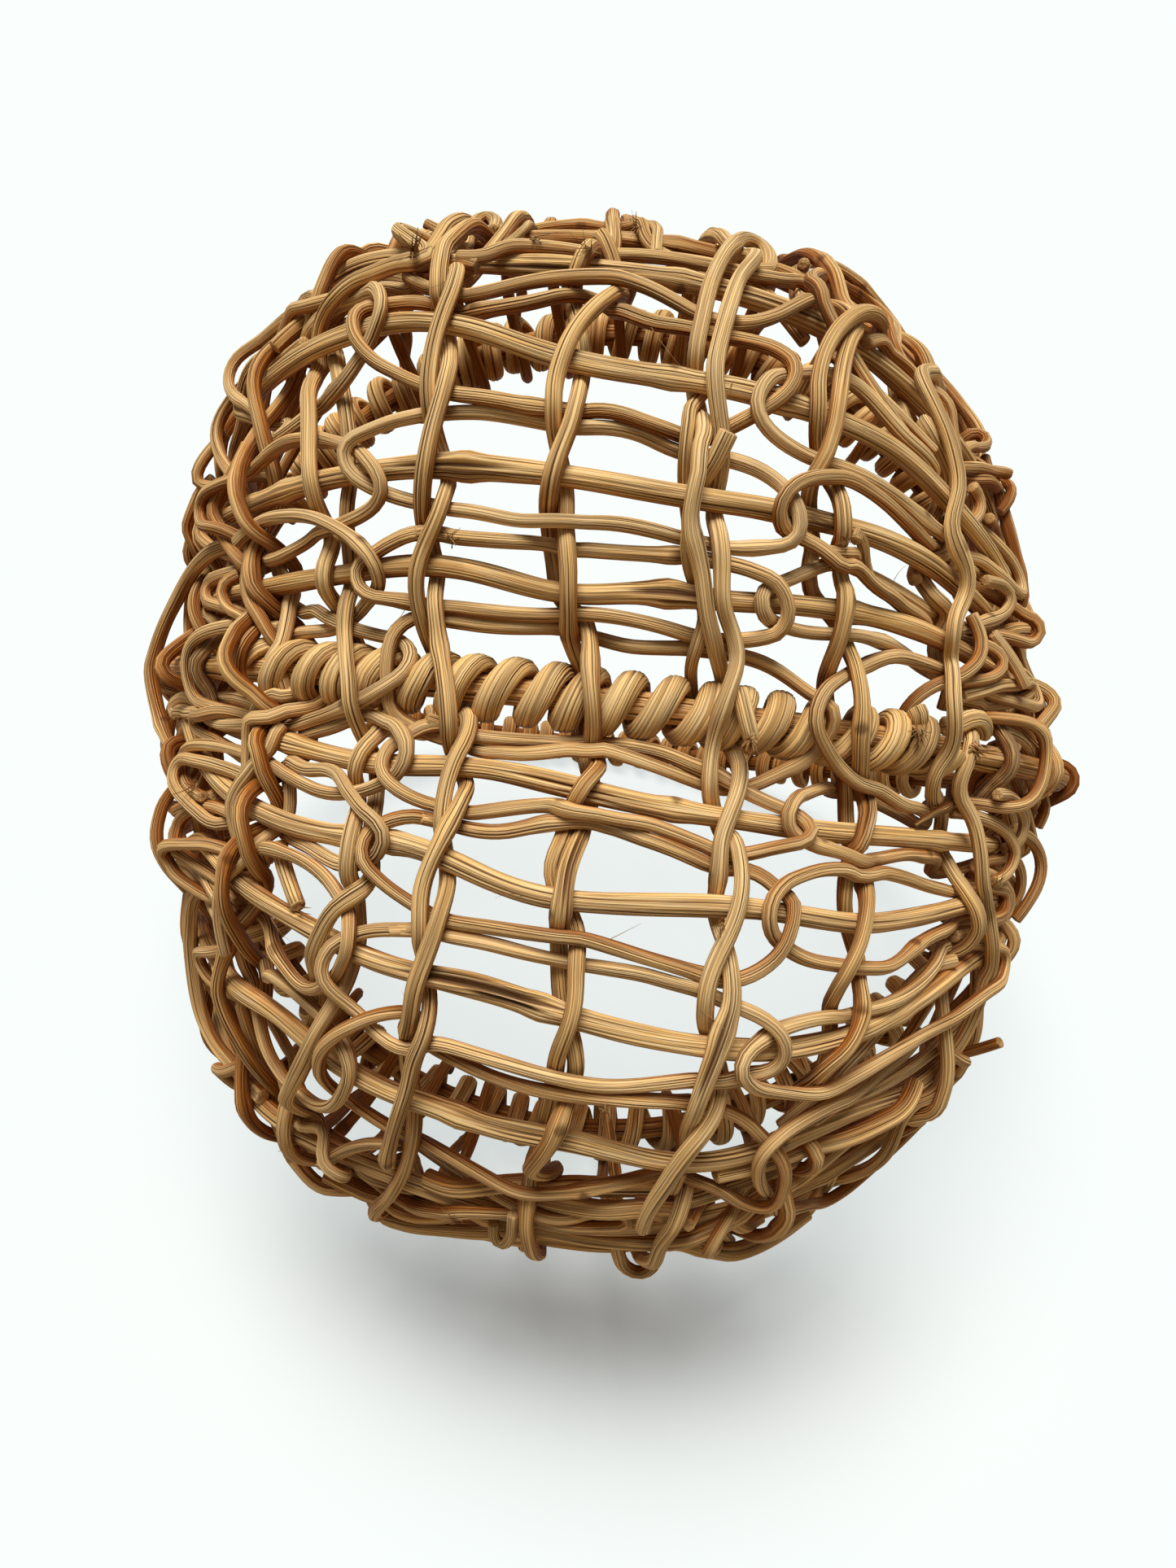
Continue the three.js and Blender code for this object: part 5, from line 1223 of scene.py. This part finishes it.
def ring_radius(along, angle, radius, dice, knots, point):
    """The radius at each ring and angle: the vine's own, wandering along it and swelling at its knots,
    times one plus a few soft flats that wander round it. A pointed vine thins towards its end."""
    base = radius * (1 + RADIUS_WANDER * wander(along, RADIUS_WAVE, dice))
    for knot in knots:
        base = base + radius * KNOT_SWELL * np.exp(-(((along - knot) / KNOT_LENGTH) ** 2))
    if point:
        base = base * np.clip(POINT_SIZE + (1 - POINT_SIZE) * (along[-1] - along) / point, POINT_SIZE, 1)
    shape = np.ones((len(along), len(angle)))
    for waves, depth in FLATS:
        phase = dice.uniform(0, 2 * np.pi) + wander(along, FLAT_TURN_WAVE, dice)
        height = depth * (FLAT_HEIGHT + FLAT_HEIGHT_WANDER * wander(along, FLAT_HEIGHT_WAVE, dice))
        shape += height[:, None] * np.cos(waves * angle[None, :] + phase[:, None])
    return base[:, None] * shape


print(FURROWS, "furrows and", SIDES, "corners round a vine, a ring every", STEP, "mm")

# %% [markdown]
# Dry vines split along their furrows. A split is a few furrows side by side, deepened where they face the
# camera and gone again after a centimetre or two, and the vine gapes a little there. A cut end is flat
# and slightly ragged, and small rings close it.

# %% Splits and cut ends
SPLIT_SWELL, SPLIT_SHADE = 0.16, 0.24
SPLIT_LINES = ((0, 0.0, 1.0), (6, 0.4, 0.7), (-6, -0.5, 0.55))
SPLIT_CORNERS = ((0, 1.0), (1, 0.9), (-1, 0.9), (2, 0.5), (-2, 0.5))
CAP_RINGS = ((0.93, 0.35, 0.0), (0.6, 0.45, 0.05), (0.25, 0.4, 0.05))
CAP_CUT = (0.6, 1.0, 1.0)
BARK_SCAR, BARK_ROUGHNESS, KNOT_SCAR_LENGTH = 0.75, 0.3, 2.2


def pressed_in(splits, line, along, spin, side, up, radii, furrow):
    """How far each corner is pressed in, by its furrow and by the splits. The splits also swell the radii
    and deepen the furrows' painted shade, in place. Each is at a place along the strand, has a length and a
    depth."""
    pressed = furrow.copy()
    for at, long, depth in splits:
        ring = np.argmin(np.abs(along - at))
        faced = CAMERA_AT - line[ring]
        facing = np.cos(spin[ring]) * (side[ring] @ faced) + np.sin(spin[ring]) * (up[ring] @ faced)
        middle = 3 * int(np.argmax(facing[::3]))
        radii *= 1 + SPLIT_SWELL * np.exp(-(((along - at) / long) ** 2))[:, None]
        for shift, slip, share in SPLIT_LINES:
            fade = share * np.exp(-(((along - at - slip * long) / (long * share)) ** 4))
            for corner, width in SPLIT_CORNERS:
                pressed[:, (middle + shift + corner) % SIDES] += depth * width * fade
                # painted shade: a split's furrows are darker than their depth alone makes them
                furrow[:, (middle + shift + corner) % SIDES] += SPLIT_SHADE * depth * width * fade
    return pressed


def scars(along, angle, knots, bark, dice):
    """How much each corner is scarred: by bark all round, over a length, and by knots on one side."""
    scar = np.zeros((len(along), SIDES))
    for at, long in bark:
        fade = BARK_SCAR * np.exp(-(((along - at) / long) ** 4))
        scar += fade[:, None] * (1 + BARK_ROUGHNESS * dice.normal(0, 1, scar.shape))
    for knot in knots:
        across = np.cos(angle - dice.uniform(0, 2 * np.pi))
        fade = np.exp(-(((along - knot) / KNOT_SCAR_LENGTH) ** 2))
        scar += fade[:, None] * np.clip(across, 0, 1)[None, :] ** 2
    return scar


def cut_end(ring, centre, outwards, grain, radius, dice):
    """The rings that close an end, each a share of the last ring and a little further out, with where
    they lie in the grain and their marks."""
    corners = []
    for share, out, rough in CAP_RINGS:
        ragged = dice.normal(0, rough, SIDES) * radius if rough else np.zeros(SIDES)
        step = (out + ragged)[:, None] * outwards * min(radius / 2, 1)
        corners.append(centre + (ring - centre) * share + step)
    grains = np.repeat(grain[None], len(CAP_RINGS), axis=0)
    grains[..., :2] *= np.array([share for share, _, _ in CAP_RINGS])[:, None, None]
    marks = np.zeros((len(CAP_RINGS), SIDES, 3))
    marks[..., 0] = np.array(CAP_CUT)[:, None]
    return np.array(corners), grains, marks


print("a split opens", len(SPLIT_LINES), "furrows")

# %% [markdown]
# The corners of all the rings are worked out at once. Layers ride on them for the finish: where each
# corner lies in the grain, how deep its furrow is, and where a cut, a knot or some bark has left its
# mark.

# %% The sweep
TWIST_SPREAD = 0.006
DEEPEST_FURROW = 0.8


def strand_surface(line, radius, dice, aside=None, aspect=1.0, knots=(), twist=None, splits=(), bark=(),
                   point=0.0):
    """The grid of corners of a strand, one row for each ring, with its grain and its marks. A corner is
    the ring's centre plus its radius times (aspect sin(angle) up + cos(angle) side). A flat strand gives
    the direction aside, in which it is thin. Any other one twists along its way."""
    ahead, side, up = carried_frame(line)
    if aside is not None:
        side = unit(aside - ahead * (aside * ahead).sum(1, keepdims=True))
        up = np.cross(ahead, side)
    along = distances_along(line)
    angle = uneven_angles(dice)
    furrow = furrow_depths(along, dice)
    radii = ring_radius(along, angle, radius, dice, knots, point)
    twist = dice.normal(0, TWIST_SPREAD) if twist is None else twist
    spin = (twist * along * (aside is None))[:, None] + angle[None, :]
    pressed = pressed_in(splits, line, along, spin, side, up, radii, furrow)
    radii = radii * (1 - np.clip(pressed, 0, DEEPEST_FURROW))
    scar = scars(along, angle, knots, bark, dice)
    wide = np.sin(spin) * radii * aspect
    high = np.cos(spin) * radii
    grid = line[:, None] + high[..., None] * side[:, None] + wide[..., None] * up[:, None]
    grain = np.stack(np.broadcast_arrays(np.cos(angle), np.sin(angle), along[:, None]), axis=-1)
    layers = [grid, grain, np.stack([np.zeros(radii.shape), furrow, scar], axis=-1)]
    starts = cut_end(grid[0], line[0], -ahead[0], grain[0], radius, dice)
    ends = cut_end(grid[-1], line[-1], ahead[-1], grain[-1], radius, dice)
    return [np.concatenate([start[::-1], layer, end]) for start, layer, end in zip(starts, layers, ends)]


# %% [markdown]
# The rings become a mesh of quads, with a fan of triangles in the middle of each end. A long thin strand
# would leave most of a square map empty, so its length is cut into bands, which lie one above another on
# the map.

# %% A mesh from the grid
BAND_MARGIN, BAND_FILL = 0.03, 0.94


def tube_faces(rows, sides):
    """Corner numbers of the quads between the rings, and then of the triangles that close both ends."""
    i, j = np.meshgrid(np.arange(rows - 1), np.arange(sides), indexing="ij")
    k = (j + 1) % sides
    quads = np.stack([i * sides + j, i * sides + k, (i + 1) * sides + k, (i + 1) * sides + j], axis=-1)
    j = np.arange(sides)
    k = (j + 1) % sides
    last = (rows - 1) * sides
    start = np.stack([np.full(sides, rows * sides), k, j], axis=-1)
    end = np.stack([np.full(sides, rows * sides + 1), last + j, last + k], axis=-1)
    return quads.reshape(-1, 4), np.concatenate([start, end])


def map_places(*corners):
    """The places of the corners of each face, given as pairs of arrays of u and v."""
    return np.stack([np.stack(corner, -1) for corner in corners], 2)


def tube_map(rows, sides, long, around):
    """Places on the flat map for each face corner: u along a band, v round the strand."""
    bands = max(1, int(round(math.sqrt(long / around))))
    edges = np.linspace(-1, rows, bands + 1).round().astype(int)
    i = np.arange(-1, rows)
    band = np.clip(np.searchsorted(edges, i, side="right") - 1, 0, bands - 1)
    low, high = edges[band], edges[band + 1]
    j = np.arange(sides)
    v0 = (band[:, None] + BAND_MARGIN + BAND_FILL * j / sides) / bands
    v1 = (band[:, None] + BAND_MARGIN + BAND_FILL * (j + 1) / sides) / bands
    u0 = ((i - low) / (high - low))[:, None] + 0 * v0
    u1 = ((i + 1 - low) / (high - low))[:, None] + 0 * v0
    middle = (v0 + v1) / 2
    body = map_places((u0, v0), (u0, v1), (u1, v1), (u1, v0))[1:-1]
    start = map_places((u0, middle), (u1, v1), (u1, v0))[0]
    end = map_places((u1, middle), (u0, v0), (u0, v1))[-1]
    return np.concatenate([places.reshape(-1, 2) for places in (body, start, end)])


def tube_mesh(name, corners, rows, long, around):
    """A smooth mesh of a strand's corners, with its flat map. No corner is lower than the floor."""
    room = to_room(corners)
    room[:, 2] = np.maximum(room[:, 2], 0)
    quads, caps = tube_faces(rows, SIDES)
    order = np.concatenate([quads.ravel(), caps.ravel()])
    starts = np.concatenate([np.arange(len(quads)) * 4, len(quads) * 4 + np.arange(len(caps)) * 3])
    mesh = bpy.data.meshes.new(name)
    mesh.vertices.add(len(room))
    mesh.vertices.foreach_set("co", room.astype(np.float32).ravel())
    mesh.loops.add(len(order))
    mesh.loops.foreach_set("vertex_index", order.astype(np.int32))
    mesh.polygons.add(len(starts))
    mesh.polygons.foreach_set("loop_start", starts.astype(np.int32))
    mesh.update(calc_edges=True)
    mesh.polygons.foreach_set("use_smooth", np.ones(len(starts), bool))
    flat = mesh.uv_layers.new(name="OFBake")
    flat.uv.foreach_set("vector", tube_map(rows, SIDES, long, around).astype(np.float32).ravel())
    return mesh


# %% [markdown]
# The vines are paler on the crown of the bowl and on their outer sides. This is partly sun bleaching and
# partly painted light where the lamp falls. Each vine was also a little paler or darker from the start. The
# wrappings are painted paler still, as painted light on turns that lie in shade.

# %% A piece from a strand
WRAP_PAINTED_LIGHT = 0.22
LIGHT_BLEACH_FROM, LIGHT_BLEACH_OVER, LIGHT_BLEACH_BY = 140, 90, 0.20
TONE_SPREAD, TONE_OUTSIDE, FACING_MIDDLE = 0.24, 0.36, 0.35
GRAIN_LENGTH = 5000


def add_layer(mesh, name, kind, values):
    """Writes a value for each corner of the mesh, as a layer that the finish reads."""
    layer = mesh.attributes.new(name, kind, "POINT")
    field = "vector" if kind == "FLOAT_VECTOR" else "value"
    layer.data.foreach_set(field, np.ascontiguousarray(values, np.float32).ravel())


def add_piece(name, mesh, slot):
    """An object of the mesh, with the finish of its slot, on the body."""
    mesh.materials.append(FINISHES[slot])
    made = bpy.data.objects.new(name, mesh)
    scene.collection.objects.link(made)
    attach(made, BODY)
    return made


def tone_of(grid, corners, slot, dice):
    """How pale each corner is, from about 0 to 1: by its height, by chance for the whole strand, and
    by how far it faces out of the bowl. Height and facing are partly sun bleaching and partly painted light,
    and the wrappings get painted light besides."""
    middles = grid.mean(1, keepdims=True)
    outwards = unit(middles - BOWL_MIDDLE)
    aside = grid - middles
    facing_out = (aside * outwards).sum(-1) / np.maximum(np.linalg.norm(aside, axis=-1), 1e-6)
    facing_out = np.concatenate([facing_out.ravel(), [0, 0]])
    # painted light as well as sun bleaching: corners higher on the bowl, towards the lamp, are paler
    height = np.clip((corners[:, 2] - LIGHT_BLEACH_FROM) / LIGHT_BLEACH_OVER, -0.5, 1)
    paleness = 0.5 + LIGHT_BLEACH_BY * height + dice.uniform(-TONE_SPREAD, TONE_SPREAD)
    # painted light: the wrappings are lifted paler where they lie in shade
    if slot == "wrap_vine":
        paleness = np.maximum(paleness, 0.5) + WRAP_PAINTED_LIGHT
    # painted light as well as sun bleaching: sides facing out of the bowl, which the lamp lights, are paler
    return np.clip(paleness + TONE_OUTSIDE * (facing_out - FACING_MIDDLE), -0.3, 1.2)


def strand_piece(name, surface, radius, slot, dice):
    """The piece of one strand, with its grain, its marks and its tone as layers. Its grain starts at a
    random place, so that no two strands are alike."""
    grid, grain, marks = surface
    corners = np.concatenate([grid.reshape(-1, 3), grid[0].mean(0)[None], grid[-1].mean(0)[None]])
    mesh = tube_mesh(name, corners, len(grid), grain[..., 2].max(), 2 * np.pi * radius)
    ends = [[0, 0, grain[0, 0, 2]], [0, 0, grain[-1, 0, 2]]]
    places = np.concatenate([grain.reshape(-1, 3), ends])
    places[:, 2] += dice.uniform(0, GRAIN_LENGTH)
    add_layer(mesh, "grain", "FLOAT_VECTOR", places)
    marks = np.concatenate([marks.reshape(-1, 3), [[1.0, 0, 0], [1.0, 0, 0]]])
    add_layer(mesh, "marks", "FLOAT_VECTOR", marks)
    add_layer(mesh, "tone", "FLOAT", tone_of(grid, corners, slot, dice))
    return add_piece(name, mesh, slot)


# %% [markdown]
# The finish is one recipe with a few colours for each kind of strand. The furrows are painted dark, as
# painted shade in the creases. Thin cracks, pale and dark streaks, greyed patches and a few remains of bark
# run along the vine between them. All of these are noise whose cells are narrow round the strand and long
# along it. They also shape the bumps.

# %% The vine finish
PALE_FIBRE, GREYED, FRESH_CUT = colour(255, 236, 190), colour(226, 200, 158), colour(228, 184, 122)
CRACK, FURROW_SHADE, BARK = colour(104, 46, 2), colour(72, 26, 0), colour(84, 44, 14)
BUMP_HEIGHT = 0.0003


def vine_finish(name, pale, tan, brown):
    """The material of peeled vine. Pale, tan and brown are its lightest, middle and darkest wood."""
    material = bpy.data.materials.new(name)
    tree = Finish(material)
    x, y, z = tree.parts(tree.node("Attribute", {"attribute_name": "grain"}, output="Vector"))
    cut, furrow, scar = tree.parts(tree.node("Attribute", {"attribute_name": "marks"}, output="Vector"))
    tone = tree.node("Attribute", {"attribute_name": "tone"}, output="Fac")

    def speckle(around, along, detail, shift):
        """Smooth noise with so many cells per radius round the strand and per millimetre along it."""
        place = tree.node("CombineXYZ", None, {0: x * around, 1: y * around, 2: z * along + shift})
        values = {"Vector": place, "Scale": 1.0, "Detail": detail}
        return tree.node("TexNoise", {"noise_dimensions": "3D"}, values)

    groove = furrow.between(0.015, 0.10)
    streak = speckle(4.5, 0.03, 3.0, 11.0)
    fibre = speckle(9.0, 0.07, 2.0, 5.0)
    middle = speckle(3.6, 0.011, 1.0, 171.0) - 0.5
    crack = 1 - middle.maths("ABSOLUTE", middle).between(0.0, 0.10)
    patch = speckle(0.8, 0.016, 2.0, 51.0)
    bare = speckle(1.2, 0.03, 3.0, 91.0)
    left_on = speckle(2.2, 0.11, 4.0, 133.0)
    wood = tree.mix((patch + 0.8 * (tone - 0.5)).between(0.20, 0.66), tan, pale)
    wood = tree.mix((1.0 - streak + 0.5 * (0.5 - tone)).between(0.48, 0.72) * 0.72, wood, brown)
    wood = tree.mix((fibre + 0.22 * (tone - 0.5)).between(0.50, 0.68) * 0.5, wood, PALE_FIBRE)
    wood = tree.mix(bare.between(0.62, 0.76) * 0.2, wood, GREYED)
    wood = tree.mix(crack * 0.55, wood, CRACK)
    # painted shade: each furrow is darkened by its depth, as shade would fall in it
    wood = tree.mix(groove * 0.88, wood, FURROW_SHADE)
    wood = tree.mix(left_on.between(0.72, 0.80) * BARK_LEFT.get(name, 0.5), wood, BARK)
    wood = tree.mix(scar.between(0.25, 0.8) * 0.7, wood, BARK)
    wood = tree.mix(cut * 0.55, wood, FRESH_CUT)
    height = streak * 0.5 + fibre * 0.5 - crack * 0.5 - groove * 0.6
    bump = tree.node("Bump", None, {"Height": height, "Distance": BUMP_HEIGHT, "Strength": 1.0})
    skin = tree.node("BsdfPrincipled", None, {"Base Color": wood, "Roughness": 0.56 + 0.22 * streak,
                                              "Normal": bump, "Specular IOR Level": 0.14})
    tree.node("OutputMaterial", None, {"Surface": skin})
    return material


BARK_LEFT = {"wrap_vine": 0.2}
WOODS = {
    "rib_vine": ((255, 206, 130), (208, 130, 52), (122, 56, 2)),
    "column_vine": ((255, 208, 134), (206, 130, 52), (120, 56, 2)),
    "link_vine": ((255, 208, 138), (208, 132, 56), (124, 58, 4)),
    "lashing_vine": ((248, 196, 120), (200, 126, 50), (122, 58, 4)),
    "wrap_vine": ((255, 208, 132), (216, 140, 60), (132, 64, 6)),
    "hoop_wood": ((236, 178, 104), (190, 122, 48), (116, 56, 6)),
}
FINISHES = {name: vine_finish(name, *(colour(*screen) for screen in woods)) for name, woods in WOODS.items()}
print(sorted(FINISHES))

# %% [markdown]
# A few marks are read off the photograph too, each at a pixel: the knots and scars that show best, the
# long splits that dry ribs open along their furrows, with their length and depth, and the lengths where
# bark is left on. Some ends are pointed, over so many millimetres.

# %% Knots, splits and bark, where they are seen
KNOTS_SEEN = {"rib_upper_2": [(345, 588)], "rib_lower_2": [(487, 1038)], "rib_upper_3": [(822, 456)],
              "column_6": [(846, 660), (900, 1268)], "rib_lower_1": [(1150, 1034)],
              "link_lower_1_right": [(1012, 1040)], "column_4": [(540, 790)],
              "column_5": [(713, 765), (690, 1110)], "rib_upper_4": [(844, 309)],
              "rib_lower_4": [(565, 1372)], "side_right_4": [(1217, 770)],
              "rib_upper_1": [(820, 728)], "column_7": [(1049, 955)]}
SPLITS_SEEN = {"rib_lower_3": [(585, 1211, 19, 0.9)], "rib_upper_1": [(822, 729, 11, 0.4)],
               "column_3": [(430, 790, 16, 0.35)], "column_7": [(1060, 1000, 12, 0.35)],
               "rib_lower_1": [(700, 966, 14, 0.35)], "rib_upper_4": [(700, 333, 16, 0.3)],
               "column_5": [(694, 1050, 12, 0.4)], "column_6": [(886, 1290, 14, 0.4)],
               "rib_upper_2": [(560, 573, 18, 0.35)], "rib_lower_4": [(620, 1388, 20, 0.3)]}
BARK_SEEN = {"rib_upper_2": [(1000, 640, 6)], "side_left_13": [(270, 800, 60)],
             "side_right_14": [(1216, 930, 60)], "end_dark_tip": [(1145, 997, 30)],
             "end_left_cut": [(364, 1112, 4)], "column_5": [(730, 320, 9)]}
POINTED = {"end_dark_tip": 16.0, "side_right_stub": 5.0, **{name: 22.0 for name in ROOTS}}


def marks_on(line, marks):
    """Each mark as how far along the strand, in millimetres, its pixel is, and then its other numbers."""
    seen = seen_at(line)
    return [(STEP * int(np.argmin(np.linalg.norm(seen - np.array(mark[:2]), axis=1))), *mark[2:])
            for mark in marks]


print(len(KNOTS_SEEN), "strands with a knot that was seen,", len(SPLITS_SEEN), "split ones")

# %% [markdown]
# Each strand has random numbers of its own, worked out from its name. So one strand can be changed while
# the others stay as they are. Knots come every ten to twenty-five centimetres, besides the ones that are
# seen.

# %% Make the ribs, columns, links, lashings and short vines
SLOT_OF = {"rib": "rib_vine", "root": "rib_vine", "rim": "rib_vine", "column": "column_vine",
           "end": "column_vine", "link": "link_vine", "side": "link_vine", "weaver": "link_vine",
           "ear": "lashing_vine", "torn": "wrap_vine"}
KNOTS_APART, FIRST_KNOT = (90, 260, 12), 60


def own_dice(name):
    """A run of random numbers that belongs to one piece, the same every time."""
    return np.random.default_rng(sum((k + 1) * ord(letter) for k, letter in enumerate(name)))


faces = 0
for name, line in settled.items():
    dice = own_dice(name)
    slot = SLOT_OF[name.split("_")[0]]
    smooth = curve_through(line, STEP)
    knots = np.cumsum(dice.uniform(*KNOTS_APART)) - FIRST_KNOT
    seen_knots = [mark[0] for mark in marks_on(smooth, KNOTS_SEEN.get(name, []))]
    knots = [*knots[knots < STEP * len(smooth)], *seen_knots]
    splits = marks_on(smooth, SPLITS_SEEN.get(name, []))
    bark = marks_on(smooth, BARK_SEEN.get(name, []))
    surface = strand_surface(smooth, RADIUS_OF[name], dice, knots=knots, splits=splits, bark=bark,
                             point=POINTED.get(name, 0.0))
    piece = strand_piece(name + "_vine", surface, RADIUS_OF[name], slot, dice)
    if name in nodes:
        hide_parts(name)
    faces += len(piece.data.polygons)
print(len(settled), "strands made, with", faces, "faces")

# %% [markdown]
# The hoops are plain rods with a few knots. The wrappings are flat, and lie with their thin side towards
# the hoop, so their section is turned by the direction out of the hoop that came with each point.

# %% Make the hoops and the wrappings
HOOP_KNOTS = (150, 420, 760, 1010)

for name, line in hoop_lines.items():
    dice = own_dice(name)
    surface = strand_surface(even_steps(line, STEP), HOOP_RADIUS, dice, knots=HOOP_KNOTS, twist=0)
    piece = strand_piece(name + "_rod", surface, HOOP_RADIUS, "hoop_wood", dice)
    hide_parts(name)
for name, line in wrap_lines.items():
    dice = own_dice(name)
    lengths = distances_along(line)
    smooth = curve_through(line, STEP)
    outs = read_off(wrap_outs[name], lengths, np.linspace(0, lengths[-1], len(smooth)))
    surface = strand_surface(smooth, WRAP_HALF_DEPTH, dice, aside=outs,
                             aspect=WRAP_HALF_WIDTH[name] / WRAP_HALF_DEPTH)
    piece = strand_piece(name + "_vine", surface, WRAP_HALF_DEPTH, "wrap_vine", dice)
    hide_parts(name)

# %% [markdown]
# Where a vine was broken or torn, its fibres stand up in a tuft, and here and there a hair has come
# loose. Each is a thin rod that tapers and bends, growing from a place read off the photograph towards
# another. They are one mesh, since a hundred tiny pieces would be no use to anyone. A tuft is written as
# its base and its tip, the number of its fibres and their radius, and a hair as its base and its tip.

# %% Frayed ends and loose hairs
TUFTS = ["505,300,13 503,292,20 14 0.5", "727,306,9 720,298,14 12 0.35", "656,282,8 668,278,10 9 0.35",
         "545,676,5 551,668,10 9 0.4", "778,273,6 772,266,8 8 0.35", "876,1128,6 868,1134,10 8 0.35",
         "745,1358,4 742,1366,10 9 0.4", "1206,902,15 1220,908,19 26 0.6", "1139,921,14 1136,938,18 24 0.6",
         "923,906,15 920,918,17 18 0.6", "1045,668,9 1040,662,14 8 0.3", "240,962,4 232,972,8 9 0.4",
         "365,1398,3 358,1405,8 7 0.35", "1236,584,6 1243,584,8 6 0.3", "565,1500,6 560,1508,10 8 0.4",
         "1222,1092,6 1232,1086,10 7 0.3", "366,1112,5 370,1120,7 6 0.3"]
HAIRS = ["560,330,4 556,372,8", "790,420,2 820,470,6", "650,600,3 690,590,9", "900,470,3 880,520,9",
         "500,745,3 480,790,10", "980,330,3 1020,310,7", "700,890,14 690,845,20", "420,1000,4 400,1050,9",
         "640,1100,3 600,1090,9", "1040,560,3 1070,520,9", "850,1250,5 890,1270,11", "330,560,3 300,530,8",
         "1100,700,3 1120,650,9", "520,1240,5 490,1230,10", "760,1140,3 800,1120,9", "330,1130,3 345,1170,9",
         "1190,480,3 1214,470,6"]
HAIR_RADIUS = 0.13
TUFT_BASE, TUFT_TIP = 0.7, 1.3
ROD_RINGS, ROD_SIDES = 7, 6
ROD_BEND, ROD_TAPER = 0.22, 0.8
FIBRE_SIZES, FIBRE_TONES = (0.5, 1.1), (0.2, 0.9)

strand_points = np.concatenate(list(settled.values()))
strand_reach = np.repeat([RADIUS_OF[name] for name in settled], [len(line) for line in settled.values()])


def rooted(base_and_tip):
    """A base's and a tip's places, moved together so that the base lies on the nearest strand's skin."""
    pair = on_bowl(read_course(base_and_tip))
    gaps = np.linalg.norm(strand_points - pair[0], axis=1)
    nearest = np.argmin(gaps)
    middle = strand_points[nearest]
    on_skin = middle + (pair[0] - middle) / gaps[nearest] * strand_reach[nearest]
    return pair + (on_skin - pair[0])


def rods(starts, ends, thick, dice):
    """Thin tapering rods. A ring's centre is the start, plus t of the way to the end, plus a random bend
    times t squared, and its radius is thick times one less the taper times t. Gives the corners and where
    they lie in the grain."""
    t = np.linspace(0, 1, ROD_RINGS)
    way = ends - starts
    long = np.linalg.norm(way, axis=1, keepdims=True)
    bend = dice.normal(0, ROD_BEND, way.shape) * long
    centres = starts[:, None] + way[:, None] * t[:, None] + bend[:, None] * (t * t)[:, None]
    aside = unit(np.cross(way, [0.3, 0.5, 0.8]))
    up = np.cross(way / long, aside)
    angle = 2 * np.pi * np.arange(ROD_SIDES) / ROD_SIDES
    ring = np.cos(angle)[:, None] * aside[:, None] + np.sin(angle)[:, None] * up[:, None]
    corners = centres[:, :, None] + ring[:, None] * (thick[:, None] * (1 - ROD_TAPER * t))[..., None, None]
    grain = np.broadcast_to(np.stack([np.cos(angle), np.sin(angle), 0 * angle], axis=-1), corners.shape)
    return corners, grain


dice = own_dice("frayed_ends")
starts, ends, thick = [], [], []
for text in TUFTS:
    pair_text, fibres, size = text.rsplit(maxsplit=2)
    base, tip = rooted(pair_text)
    starts.append(base + dice.normal(0, TUFT_BASE, (int(fibres), 3)))
    ends.append(tip + dice.normal(0, TUFT_TIP, (int(fibres), 3)))
    thick.append(float(size) * dice.uniform(*FIBRE_SIZES, int(fibres)))
for text in HAIRS:
    base, tip = rooted(text)
    starts.append(base[None])
    ends.append(tip[None])
    thick.append(np.array([HAIR_RADIUS]))
corners, grain = rods(np.concatenate(starts), np.concatenate(ends), np.concatenate(thick), dice)
count = len(corners)
first = (np.arange(count) * ROD_RINGS * ROD_SIDES)[:, None]
quads = (tube_faces(ROD_RINGS, ROD_SIDES)[0][None] + first[:, None]).reshape(-1, 4)
ring = np.arange(ROD_SIDES)
lids = np.concatenate([first + ring[::-1], first + (ROD_RINGS - 1) * ROD_SIDES + ring])
mesh = bpy.data.meshes.new("frayed_ends")
mesh.from_pydata(to_room(corners.reshape(-1, 3)), [], quads.tolist() + lids.tolist())
mesh.update()
add_layer(mesh, "grain", "FLOAT_VECTOR", grain.reshape(-1, 3))
add_layer(mesh, "marks", "FLOAT_VECTOR", np.zeros((count * ROD_RINGS * ROD_SIDES, 3)))
add_layer(mesh, "tone", "FLOAT", np.repeat(dice.uniform(*FIBRE_TONES, count), ROD_RINGS * ROD_SIDES))
add_piece("frayed_ends", mesh, "link_vine")
print(count, "splinters and hairs")
